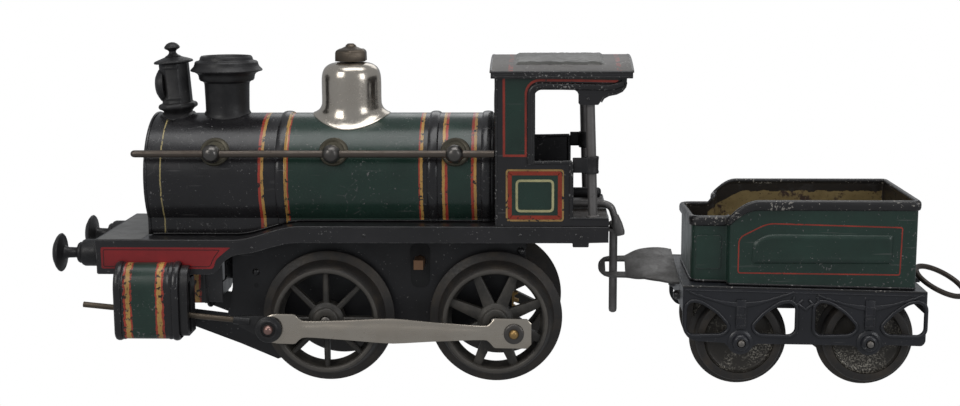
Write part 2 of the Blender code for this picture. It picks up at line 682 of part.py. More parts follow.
def make_driver(name, x, side, spoke, phase, crank_angle=None):
    """Cast wheel: flange, coned tread, spokes and a hub bored for the axle."""
    bore = AXLE_R + SHAFT_CLEARANCE
    face = WHEEL_FACE_Y - FLANGE_Y
    profile = [(bore, face + 0.9), (5.2, face + 0.9), (7.2, face - 1.6), (19.4, face - 1.6),
               (19.4, face), (21.0, face), (TREAD_R, 1.2), (DRIVER_R, 0), (DRIVER_R, -0.8),
               (19.4, -1.4), (19.4, 2.6), (7.2, 2.6), (6.4, -1.8), (bore, -1.8)]
    wheel = turned(name, profile, (x, side * FLANGE_Y, DRIVER_R), "Y" if side > 0 else "-Y", 28)
    windows = add(f"{name}_windows", wheel_windows(f"{name}_windows", 8, 7.6, 19.0, spoke, phase),
                  (x, side * (FLANGE_Y + 5), DRIVER_R), AXIS_TURN["Y"])
    wheel = solid(cut(wheel, windows))
    if crank_angle is not None:
        at = (x + CRANK_THROW * cos(crank_angle), side * (WHEEL_FACE_Y - 3.4),
              DRIVER_R + CRANK_THROW * sin(crank_angle))
        join(wheel, cylinder(f"{name}_crank_boss", 4.5, 7.35, at, "Y", 18))
    finish(wheel, "iron")


def make_wheelsets():
    for name, side in SIDES.items():
        angle = CRANK_ANGLE_LEFT if side < 0 else CRANK_ANGLE_RIGHT
        make_driver(f"driving_wheel_front_{name}", -WHEELBASE, side, 2.2, 0)
        make_driver(f"driving_wheel_rear_{name}", 0, side, 4.2, 22.5, angle)
        make_crank_pin(name, side, angle)
    for name, x in (("front", -WHEELBASE), ("rear", 0)):
        axle = cylinder(f"driving_axle_{name}", AXLE_R, 2 * (WHEEL_FACE_Y + 1.0), (x, 0, DRIVER_R), "Y", 24)
        finish(axle, "steel")


def make_crank_pin(name, side, angle):
    """Shouldered screw with its washer, on the rear wheel's crank boss."""
    start = WHEEL_FACE_Y + 0.3 + GAP
    rod_out = ROD_Y + ROD_THICKNESS / 2 - start
    profile = [(0, rod_out + 2.6), (1.2, rod_out + 2.4), (1.9, rod_out + 1.6), (2.0, rod_out + 0.9),
               (3.9, rod_out + 0.9), (3.9, rod_out + GAP), (1.8, rod_out + GAP), (1.8, 1.4), (2.7, 1.4),
               (2.7, 0), (0, 0)]
    at = (CRANK_THROW * cos(angle), side * start, DRIVER_R + CRANK_THROW * sin(angle))
    finish(turned(f"crank_pin_{name}", profile, at, "Y" if side > 0 else "-Y", 16), "brass")


def rod_outline():
    """Fish-bellied rod from the crank pin, at the origin, forward to the crosshead pin."""
    upper = [(6.9, 4.4), (5.3, 6.0), (-7.2, 6.0), (-10.6, 2.9), (-16.0, 3.0), (-48.5, 5.1), (-82.5, 3.2),
             (-85.8, 4.4), (-87.2, 6.0), (-94.6, 6.0), (-97.6, 5.2), (-100.2, 4.5), (-102.1, 2.6)]
    lower = [(x, -z) for x, z in reversed(upper)]
    return [(x, z + ROD_RISE * -x / ROD_CENTRES) for x, z in upper + lower]


def crank_pin_at(side):
    angle = CRANK_ANGLE_LEFT if side < 0 else CRANK_ANGLE_RIGHT
    return CRANK_THROW * cos(angle), DRIVER_R + CRANK_THROW * sin(angle)


def make_rods():
    """Connecting rod, and the piston rod with its crosshead, on each side."""
    for name, side in SIDES.items():
        pin_x, pin_z = crank_pin_at(side)
        hole = circle((0, 0), 2.1)
        connecting = plate(f"connecting_rod_{name}", rod_outline(), ROD_THICKNESS, "XZ", 0,
                           (pin_x, side * ROD_Y, pin_z), holes=(hole,))
        finish(connecting, "nickel")
        make_piston_rod(name, side, pin_x - ROD_CENTRES, pin_z + ROD_RISE)


def make_piston_rod(name, side, x, z):
    """Piston rod whose crosshead block lies behind the connecting rod."""
    tail, socket = -75.2, -8.5
    axis_z = 1.7
    points = [(x + tail, side * PISTON_ROD_Y, z + axis_z - PISTON_SLOPE * tail),
              (x + socket, side * PISTON_ROD_Y, z + axis_z - PISTON_SLOPE * socket)]
    piston = rod(f"piston_rod_{name}", points, PISTON_ROD_R)
    block = [(-12.5, 0.9), (-12.5, 5.0), (-5.0, 5.0), (-1.0, 4.4), (3.8, 2.0), (3.8, -2.4), (0, -4.4),
             (-5.2, -3.2)]
    block = [(x + u, z + v) for u, v in block]
    inner, outer = PISTON_ROD_Y - 1.3, ROD_Y - ROD_THICKNESS / 2 - GAP
    join(piston, plate(f"crosshead_{name}", block, outer - inner, "XZ", side * (inner + outer) / 2))
    finish(piston, "steel")
    head = [(0, 3.4), (1.2, 3.2), (1.9, 2.4), (2.0, 1.5), (5.3, 1.5), (5.3, 0.8), (3.6, 0), (0, 0)]
    pin = turned(f"crosshead_pin_{name}", head, (x, side * (ROD_Y + ROD_THICKNESS / 2 + GAP), z),
                 "Y" if side > 0 else "-Y", 16)
    finish(pin, "iron")


# ---------------------------------------------------------------- clockwork

def mesh_phase(teeth, own_at, mate_at, mate_teeth, mate_phase):
    """Turn that puts a gap of this gear where the mating gear has a tooth."""
    facing = atan2(mate_at[1] - own_at[1], mate_at[0] - own_at[0])
    mate_facing = facing + pi
    mate_offset = ((mate_facing - mate_phase) * mate_teeth / (2 * pi)) % 1
    return facing + (mate_offset + 0.5) * 2 * pi / teeth


def make_clockwork():
    """Mainspring, winding arbor, click, great wheel, idler and the gear on the driving axle."""
    arbor_at, axle_at = (ARBOR_X, ARBOR_Z), (0, DRIVER_R)
    pinion_phase = mesh_phase(PINION_TEETH, IDLER_AT, arbor_at, GREAT_TEETH, 0)
    axle_phase = mesh_phase(AXLE_GEAR_TEETH, axle_at, IDLER_AT, IDLER_TEETH, 0)

    bore = circle((0, 0), ARBOR_R + GAP)
    great = plate("great_wheel", gear_outline(GREAT_TEETH), GEAR_THICKNESS, "XZ", 0,
                  (ARBOR_X, GREAT_WHEEL_Y, ARBOR_Z), holes=(bore,))
    finish(great, "brass")

    arbor = cylinder("winding_arbor", ARBOR_R, 38.4, (ARBOR_X, -0.6, ARBOR_Z), "Y", 20)
    half = 1.9
    square = box("winding_square", (ARBOR_X - half, ARBOR_X + half), (-27.2, -18.9),
                 (ARBOR_Z - half, ARBOR_Z + half))
    ratchet = plate("ratchet_wheel", ratchet_outline(), 1.4, "XZ", RATCHET_Y, (ARBOR_X, 0, ARBOR_Z))
    finish(join(arbor, square, ratchet), "bronze")

    click = [(-1.5, -1.6), (1.6, -1.6), (1.6, 1.6), (-1.0, 1.6), (-5.0, 5.2), (-6.6, 4.6), (-4.6, 1.4)]
    pivot = (ARBOR_X + CLICK_OFFSET[0], RATCHET_Y, ARBOR_Z + CLICK_OFFSET[1])
    finish(plate("ratchet_click", click, 1.4, "XZ", 0, pivot), "steel")

    idler_x, idler_z = IDLER_AT
    idler = plate("idler_gear", gear_outline(IDLER_TEETH), GEAR_THICKNESS, "XZ", 0,
                  (idler_x, IDLER_Y, idler_z))
    pinion = plate("idler_pinion", gear_outline(PINION_TEETH, pinion_phase), 2 * GEAR_THICKNESS, "XZ", 0,
                   (idler_x, GREAT_WHEEL_Y, idler_z))
    spindle = cylinder("idler_spindle", SPINDLE_R, 2 * PLATE_Y + 1.6, (idler_x, 0, idler_z), "Y", 16)
    finish(join(idler, pinion, spindle), "brass")

    axle_bore = circle((0, 0), AXLE_R + SHAFT_CLEARANCE)
    axle_gear = plate("axle_gear", gear_outline(AXLE_GEAR_TEETH, axle_phase), 3.0, "XZ", 0,
                      (0, IDLER_Y, DRIVER_R), holes=(axle_bore,))
    finish(axle_gear, "brass")
    make_mainspring()


def ratchet_outline(teeth=12, outer=7.2, inner=5.6):
    points = []
    for index in range(teeth):
        turn = 2 * pi * index / teeth
        points.append((outer * cos(turn), outer * sin(turn)))
        points.append((inner * cos(turn + 0.06), inner * sin(turn + 0.06)))
    return points


def make_mainspring(turns=4.0, inner=4.6, outer=17.0, strip=0.7, width=8.0):
    """Flat spiral spring beside the great wheel, around the arbor."""
    count = int(turns * 20)
    outline = []
    for edge in (0, 1):
        for index in range(count + 1):
            t = index / count if edge == 0 else 1 - index / count
            radius = inner + (outer - inner) * t + (strip if edge else 0)
            turn = 2 * pi * turns * t
            outline.append((radius * cos(turn), radius * sin(turn)))
    spring = plate("mainspring", outline, width, "XZ", 0, (ARBOR_X, MAINSPRING_Y, ARBOR_Z))
    finish(spring, "steel")


# ---------------------------------------------------------------- tender

def plan_outline(inset):
    """Plan of the tub: full width behind, narrower nose in front."""
    nose, wide = NOSE_HALF_WIDTH - inset, TUB_HALF_WIDTH - inset
    corner = (TUB_NOSE_X + NOSE_CORNER_R, NOSE_HALF_WIDTH - NOSE_CORNER_R)
    half = [*reversed(arc(corner, NOSE_CORNER_R - inset, 90, 180, 4)),
            (TUB_X[0] + inset, nose), (TUB_X[0] + inset, wide - 1.5),
            (TUB_X[0] + 1.5 + inset, wide), (TUB_X[1] - 1 - inset, wide), (TUB_X[1] - inset, wide - 1)]
    return [(x, -y) for x, y in half] + [(x, y) for x, y in reversed(half)]


def make_tub():
    """Open coal tub whose side rims slope down to the nose."""
    height, middle = TUB_Z[1] - TUB_Z[0], (TUB_Z[0] + TUB_Z[1]) / 2
    tub = plate("tender_tub", plan_outline(0), height, "XY", middle)
    cut(tub, plate("tub_hollow", plan_outline(SHEET), height, "XY", middle + SHEET))
    slope = [(70, 90), (70, NOSE_TOP_Z), (TUB_X[0], NOSE_TOP_Z), (94.0, 70.4), (98.5, 73.9), (101.7, 75.6),
             (104.5, 76.3), (104.5, 90)]
    cut(tub, plate("tub_slope", slope, 80, "XZ"))
    panel = [(100.8, 50.8), (155.8, 50.6), (156.1, 62.0), (107.0, 62.6), (101.4, 59.6)]
    for name, side in SIDES.items():
        level = side * (TUB_HALF_WIDTH + 0.2)
        join(tub, plate(f"tub_panel_{name}", panel, 1.2, "XZ", level))
    tub = solid(tub)
    underside = (SHEET - height) / 2 * MM
    for vertex in tub.data.vertices:
        if vertex.co.z < underside:
            vertex.co.z -= FLOOR_FALL * (vertex.co.x - FRAME_X[0] * MM)
    finish(tub, "green")


def frame_top(x):
    return FRAME_TOP_Z - FLOOR_FALL * (x - FRAME_X[0])


def make_footplate():
    """Tender floor with its end beams."""
    low, high = FRAME_X
    half = FRAME_HALF_WIDTH - SHEET - GAP
    rear_top = frame_top(high)
    outline = [(low, FRAME_TOP_Z), (high, rear_top), (high, rear_top - SHEET), (low, FRAME_TOP_Z - SHEET)]
    floor = plate("tender_footplate", outline, 2 * half, "XZ")
    inside = SHEET / 3             # the beams end within the floor sheet
    front_beam = (31.0, FRAME_TOP_Z - inside)
    rear_beam = (31.0, rear_top - inside)
    width = (0.1 - half, half - 0.1)
    join(floor, box("tender_front_beam", (low + 0.1, low + SHEET), width, front_beam))
    join(floor, box("tender_rear_beam", (high - SHEET, high - 0.1), width, rear_beam))
    lug = box("loop_lug", (high - 0.4, LOOP_ROOT[0] + 1.2), (-2, 2), (37.3, 39.0))
    join(floor, lug)
    finish(floor, "black")


def frame_window(centre, lean):
    """One leaf-shaped opening beside an axle box; lean is -1 in front of the axle, +1 behind."""
    shape = [(4.9, 25.4), (7.4, 22.8), (19.5, 22.4), (21.2, 24.0), (21.2, 33.6), (19.4, 35.4),
             (15.4, 34.8), (9.4, 30.6)]
    return [(centre + lean * u, z) for u, z in shape]


def make_side_frames():
    """Pressed side frames with leaf-shaped openings and round axle boxes."""
    front, rear = TENDER_AXLES
    axle_z = TENDER_WHEEL_R
    low, high = FRAME_X
    outline = [(low, FRAME_TOP_Z), (low, 24.0), (77.4, 19.8), (front - 6.4, 18.9),
               *arc((front, axle_z), 5.2, 200, 340, 7), (front + 7, 18.6), (rear - 7, 18.2),
               *arc((rear, axle_z), 5.2, 200, 340, 7), (rear + 7, 18.4), (168.4, 18.0), (high, 19.6),
               (high, frame_top(high))]
    holes = [circle((x, axle_z), TENDER_AXLE_R + SHAFT_CLEARANCE, 16) for x in TENDER_AXLES]
    holes += [frame_window(x, lean) for x in TENDER_AXLES for lean in (-1, 1)]
    bore = TENDER_AXLE_R + SHAFT_CLEARANCE + 0.05
    boss = [(bore, 3.0), (2.6, 2.7), (3.3, 1.7), (3.5, 0.3), (3.5, -0.4), (bore, -0.4)]
    for name, side in SIDES.items():
        level = side * (FRAME_HALF_WIDTH - SHEET / 2)
        frame = plate(f"tender_side_frame_{name}", outline, SHEET, "XZ", level, holes=holes)
        for x in TENDER_AXLES:
            at = (x, side * FRAME_HALF_WIDTH, axle_z)
            dome = turned(f"axle_box_{name}_{int(x)}", boss, at, "Y" if side > 0 else "-Y", 16)
            join(frame, dome)
        finish(frame, "black")


def make_tender_wheels():
    """Dished disc wheels on plain axles that turn in the side frames."""
    bore = TENDER_AXLE_R + SHAFT_CLEARANCE
    profile = [(bore, 7.2), (4.2, 7.2), (4.6, 4.4), (13.0, 4.0), (13.6, 6.2), (16.4, 5.8), (17.0, 1.2),
               (TENDER_WHEEL_R, 0), (TENDER_WHEEL_R, -0.7), (13.4, -1.2), (12.6, 2.4), (bore, 2.4)]
    for place, x in zip(("front", "rear"), TENDER_AXLES):
        for name, side in SIDES.items():
            wheel = turned(f"tender_wheel_{place}_{name}", profile, (x, side * FLANGE_Y, TENDER_WHEEL_R),
                           "Y" if side > 0 else "-Y", 24)
            finish(wheel, "iron")
        axle = cylinder(f"tender_axle_{place}", TENDER_AXLE_R, 2 * TENDER_AXLE_REACH,
                        (x, 0, TENDER_WHEEL_R), "Y", 16)
        finish(axle, "steel")


def make_tongue():
    """Drawbar plate, twisted a little by use, with a slot over the engine's pin."""
    half = [(41.9, 0), (43.0, 4.2), (45.0, 6.4), (48.0, 7.0), (53.0, 7.2), (56.0, 10.0), (60.0, 14.5),
            (66.0, 20.0), (70.5, 22.0), (73.8, 21.4)]
    outline = half + [(x, -y) for x, y in reversed(half[1:])]
    slot = [(44.6, -4.0), (53.2, -3.8), (53.2, 3.8), (44.6, 4.0)]
    outline = [(x - DRAW_PIN_X, y) for x, y in outline]
    slot = [(x - DRAW_PIN_X, y) for x, y in slot]
    tongue = plate("tender_drawbar", outline, SHEET, "XY", 0, (DRAW_PIN_X, 0, TONGUE_Z), holes=(slot,))
    tongue.rotation_euler.x = TONGUE_TWIST
    finish(tongue, "steel")


def make_coupling_loop():
    """Ring at the back, drooping from the lug on the rear beam."""
    centre = (LOOP_R, 0)
    ring = plate("coupling_loop", circle(centre, LOOP_R + LOOP_WIDTH / 2, 36), LOOP_THICKNESS, "XY", 0,
                 (LOOP_ROOT[0], 0, LOOP_ROOT[1]), holes=(circle(centre, LOOP_R - LOOP_WIDTH / 2, 36),))
    ring.rotation_euler = (LOOP_ROLL, LOOP_DROOP, 0)
    finish(ring, "steel")


# ---------------------------------------------------------------- build

make_running_board()
make_side_plates()
make_spacers()
make_cylinder_bracket()
make_cylinders()
make_buffers()
make_boiler()
make_smokebox_front()
make_chimney()
make_dome()
make_headlamp()
make_handrails()
make_cab()
make_roof()
make_cab_posts()
make_controls()
make_draw_pin()
make_wheelsets()
make_rods()
make_clockwork()
make_tub()
make_footplate()
make_side_frames()
make_tender_wheels()
make_tongue()
make_coupling_loop()
bpy.context.view_layer.update()
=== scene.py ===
"""Looks of a gauge 1 tinplate clockwork locomotive with its tender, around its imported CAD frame.

Lengths in the helper calls are millimetres. X is counted from the rear driving axle towards the
tender, Y to the engine's right-hand side, Z up from the rail. Every piece's vertices are written in
the row frame, so a material's object coordinates are places on the train.
"""
from math import asin, atan2, cos, pi, radians, sin, sqrt

import bmesh
import bpy
from mathutils import Matrix, Vector, noise


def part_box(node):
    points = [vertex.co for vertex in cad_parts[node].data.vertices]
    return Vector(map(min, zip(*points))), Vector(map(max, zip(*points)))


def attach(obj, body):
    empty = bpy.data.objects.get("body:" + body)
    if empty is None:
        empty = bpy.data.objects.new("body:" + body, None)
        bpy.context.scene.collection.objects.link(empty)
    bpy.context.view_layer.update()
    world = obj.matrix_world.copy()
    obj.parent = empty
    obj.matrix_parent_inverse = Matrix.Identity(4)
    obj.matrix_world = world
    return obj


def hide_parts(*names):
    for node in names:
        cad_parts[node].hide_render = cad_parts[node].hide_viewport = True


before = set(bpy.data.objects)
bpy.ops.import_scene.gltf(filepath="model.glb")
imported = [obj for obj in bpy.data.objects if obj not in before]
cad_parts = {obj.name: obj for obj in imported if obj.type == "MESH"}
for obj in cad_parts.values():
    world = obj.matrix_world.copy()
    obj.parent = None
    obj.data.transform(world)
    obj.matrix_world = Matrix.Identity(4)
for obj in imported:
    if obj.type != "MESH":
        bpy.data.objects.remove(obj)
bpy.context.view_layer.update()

MM = 0.001


def box_mm(node):
    low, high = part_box(node)
    return [value / MM for value in low], [value / MM for value in high]


def middle_mm(node):
    low, high = box_mm(node)
    return [(a + b) / 2 for a, b in zip(low, high)]


REAR_AXLE = middle_mm("driving_axle_rear")
X0 = REAR_AXLE[0]                       # row X of the rear driving axle
AXLE_Z = REAR_AXLE[2]
FRONT_AXLE_X = middle_mm("driving_axle_front")[0] - X0
SIDES = {"left": -1, "right": 1}


# ---------------------------------------------------------------- mesh helpers

def new_object(name, mesh):
    obj = bpy.data.objects.new(name, mesh)
    bpy.context.scene.collection.objects.link(obj)
    return obj


def drop(obj):
    mesh = obj.data
    bpy.data.objects.remove(obj, do_unlink=True)
    return mesh


def shape_mesh(name, shape, smooth=35):
    """Turns a bmesh in millimetres, from the rear axle, into a mesh in the row frame."""
    bmesh.ops.remove_doubles(shape, verts=shape.verts, dist=0.0005)
    bmesh.ops.recalc_face_normals(shape, faces=shape.faces)
    bmesh.ops.transform(shape, matrix=Matrix.Scale(MM, 4) @ Matrix.Translation((X0, 0, 0)), verts=shape.verts)
    mesh = bpy.data.meshes.new(name)
    shape.to_mesh(mesh)
    shape.free()
    mesh.shade_smooth()
    mesh.set_sharp_from_angle(angle=radians(smooth))
    return mesh


def bevelled(obj, width, segments=2, angle=40):
    modifier = obj.modifiers.new("bevel", "BEVEL")
    modifier.width = width * MM
    modifier.segments = segments
    modifier.limit_method = "ANGLE"
    modifier.angle_limit = radians(angle)
    modifier.harden_normals = False
    return obj


AXES = {"Z": Matrix.Identity(3),
        "Y": Matrix.Rotation(-pi / 2, 3, "X"), "-Y": Matrix.Rotation(pi / 2, 3, "X"),
        "X": Matrix.Rotation(pi / 2, 3, "Y"), "-X": Matrix.Rotation(-pi / 2, 3, "Y")}


def lathe_into(shape, profile, at, axis="Z", segments=64, phase=0.0):
    """Adds a turned body. The profile is (radius, height)."""
    turn = AXES[axis]
    rings = []
    for radius, height in profile:
        if radius == 0:
            rings.append([shape.verts.new(Vector(at) + turn @ Vector((0, 0, height)))])
            continue
        ring = []
        for index in range(segments):
            angle = 2 * pi * index / segments + phase
            ring.append(shape.verts.new(
                Vector(at) + turn @ Vector((radius * cos(angle), radius * sin(angle), height))))
        rings.append(ring)
    closed = profile[0][0] > 0 and profile[-1][0] > 0
    spans = list(zip(rings, rings[1:] + rings[:1]))
    if not closed:
        spans = spans[:-1]
    for one, two in spans:
        for index in range(segments):
            after = (index + 1) % segments
            corners = [one[index % len(one)], one[after % len(one)], two[after % len(two)],
                       two[index % len(two)]]
            corners = list(dict.fromkeys(corners))
            if len(corners) > 2:
                shape.faces.new(corners)
    return shape


def smooth_profile(points, steps=4):
    """Rounds a turned profile with a Catmull-Rom curve through its points."""
    result = []
    for index in range(len(points) - 1):
        p0 = points[max(index - 1, 0)]
        p1, p2 = points[index], points[index + 1]
        p3 = points[min(index + 2, len(points) - 1)]
        for step in range(steps):
            t = step / steps
            result.append(tuple(max(0.0, value) if axis == 0 else value for axis, value in enumerate(
                0.5 * ((2 * b) + (c - a) * t + (2 * a - 5 * b + 4 * c - d) * t * t
                       + (3 * b - a - 3 * c + d) * t ** 3) for a, b, c, d in zip(p0, p1, p2, p3))))
    return result + [points[-1]]


def lathe(name, profile, at, axis="Z", segments=64, phase=0.0, smooth=35):
    return new_object(name,
                      shape_mesh(name, lathe_into(bmesh.new(), profile, at, axis, segments, phase), smooth))


PLANES = {"XY": Matrix.Identity(4), "XZ": Matrix.Rotation(pi / 2, 4, "X"),
          "YZ": Matrix.Rotation(pi / 2, 4, "Z") @ Matrix.Rotation(pi / 2, 4, "X")}


def plate(name, outline, thickness, plane="XZ", level=0.0, holes=(), bevel=0.0, turn=None):
    """A flat outline with a thickness about its level along the plane's normal."""
    curve = bpy.data.curves.new(name, "CURVE")
    curve.dimensions = "2D"
    curve.fill_mode = "BOTH"
    curve.extrude = thickness / 2
    for loop in (outline, *holes):
        spline = curve.splines.new("POLY")
        spline.points.add(len(loop) - 1)
        for point, (u, v) in zip(spline.points, loop):
            point.co = (u, v, 0, 1)
        spline.use_cyclic_u = True
    obj = new_object(name, curve)
    bpy.context.view_layer.update()
    mesh = bpy.data.meshes.new_from_object(obj.evaluated_get(bpy.context.evaluated_depsgraph_get()))
    drop(obj)
    shift = {"XY": (0, 0, level), "XZ": (0, level, 0), "YZ": (level, 0, 0)}[plane]
    mesh.transform(Matrix.Translation(shift) @ PLANES[plane])
    if turn is not None:
        mesh.transform(turn)
    shape = bmesh.new()
    shape.from_mesh(mesh)
    obj = new_object(name, shape_mesh(name, shape, 40))
    return bevelled(obj, bevel) if bevel else obj


def tube(name, points, radius, closed=False, resolution=4):
    """A round wire, bead or rail along the points."""
    curve = bpy.data.curves.new(name, "CURVE")
    curve.dimensions = "3D"
    curve.bevel_depth = radius
    curve.bevel_resolution = resolution
    curve.use_fill_caps = not closed
    spline = curve.splines.new("POLY")
    spline.points.add(len(points) - 1)
    for point, place in zip(spline.points, points):
        point.co = (*place, 1)
    spline.use_cyclic_u = closed
    obj = new_object(name, curve)
    bpy.context.view_layer.update()
    mesh = bpy.data.meshes.new_from_object(obj.evaluated_get(bpy.context.evaluated_depsgraph_get()))
    drop(obj)
    shape = bmesh.new()
    shape.from_mesh(mesh)
    return new_object(name, shape_mesh(name, shape, 50))


def block(name, x, y, z, bevel=0.2):
    shape = bmesh.new()
    bmesh.ops.create_cube(shape, size=1)
    for vert in shape.verts:
        vert.co = Vector([low + (high - low) * (vert.co[axis] + 0.5)
                          for axis, (low, high) in enumerate((sorted(x), sorted(y), sorted(z)))])
    return bevelled(new_object(name, shape_mesh(name, shape)), bevel)


def arc(centre, radius, start, end, count):
    turns = [radians(start + (end - start) * i / count) for i in range(count + 1)]
    return [(centre[0] + radius * cos(t), centre[1] + radius * sin(t)) for t in turns]


def circle(centre, radius, count=40):
    return arc(centre, radius, 0, 360, count)[:-1]


def rounded(points, radius, steps=5):
    """Closed outline with its corners rounded. A radius may be one value or one for each corner."""
    result = []
    count = len(points)
    for index, point in enumerate(points):
        r = radius[index] if isinstance(radius, (list, tuple)) else radius
        if r == 0:
            result.append(point)
            continue
        here, before, after = Vector(point), Vector(points[index - 1]), Vector(points[(index + 1) % count])
        one, two = (before - here), (after - here)
        reach = min(r, one.length * 0.49, two.length * 0.49)
        start, end = here + one.normalized() * reach, here + two.normalized() * reach
        for step in range(steps + 1):
            t = step / steps
            result.append(tuple(start * (1 - t) ** 2 + here * 2 * t * (1 - t) + end * t * t))
    return result


def rounded_box(x, z, radius, steps=5, inset=0.0):
    """A rectangle with rounded corners."""
    (x0, x1), (z0, z1) = x, z
    return rounded([(x0 + inset, z0 + inset), (x1 - inset, z0 + inset), (x1 - inset, z1 - inset),
                    (x0 + inset, z1 - inset)], radius, steps)


def open_rounded(points, radius, steps=6):
    """An open polyline in space with rounded inner corners."""
    result = [points[0]]
    for before, here, after in zip(points, points[1:], points[2:]):
        before, here, after = Vector(before), Vector(here), Vector(after)
        one, two = before - here, after - here
        reach = min(radius, one.length * 0.49, two.length * 0.49)
        start, end = here + one.normalized() * reach, here + two.normalized() * reach
        for step in range(steps + 1):
            t = step / steps
            result.append(tuple(start * (1 - t) ** 2 + here * 2 * t * (1 - t) + end * t * t))
    return result + [points[-1]]


def on_side(outline, y):
    """An XZ outline as points in space at a given Y."""
    return [(x, y, z) for x, z in outline]


def skin(shape, rows, around=True, along=False):
    """Faces between rows of vertices. A row may close on itself, and the last row may meet the first."""
    for one, two in zip(rows, rows[1:] + rows[:1] if along else rows[1:]):
        for k in range(len(one) if around else len(one) - 1):
            after = (k + 1) % len(one)
            shape.faces.new((one[k], one[after], two[after], two[k]))


def loft(name, sections, around=False, smooth=35):
    """A skin through equally long sections of points."""
    shape = bmesh.new()
    skin(shape, [[shape.verts.new(point) for point in section] for section in sections], around)
    return new_object(name, shape_mesh(name, shape, smooth))


def sheet_metal(obj, thickness, offset=-1.0):
    """Gives a skin the thickness of its sheet. The offset is the side that it grows to."""
    modifier = obj.modifiers.new("sheet", "SOLIDIFY")
    modifier.thickness = thickness * MM
    modifier.offset = offset
    return modifier


def outward(side):
    """The lathe axis that points away from the train's middle plane."""
    return "Y" if side > 0 else "-Y"


def dress(obj, body, slot, material, *nodes):
    """Gives a piece its material or materials and its body, and hides the CAD nodes it stands for. The slot
    is not used.
    """
    obj.data.materials.clear()
    for one in material if isinstance(material, (list, tuple)) else [material]:
        obj.data.materials.append(one)
    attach(obj, body)
    if nodes:
        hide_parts(*nodes)
    return obj


def merged(name, *objects):
    """Joins finished meshes into one object, modifiers applied."""
    shape = bmesh.new()
    bpy.context.view_layer.update()
    graph = bpy.context.evaluated_depsgraph_get()
    for obj in objects:
        mesh = bpy.data.meshes.new_from_object(obj.evaluated_get(graph))
        shape.from_mesh(mesh)
    for obj in objects:
        drop(obj)
    mesh = bpy.data.meshes.new(name)
    shape.to_mesh(mesh)
    shape.free()
    mesh.shade_smooth()
    mesh.set_sharp_from_angle(angle=radians(38))
    return new_object(name, mesh)


# ---------------------------------------------------------------- materials

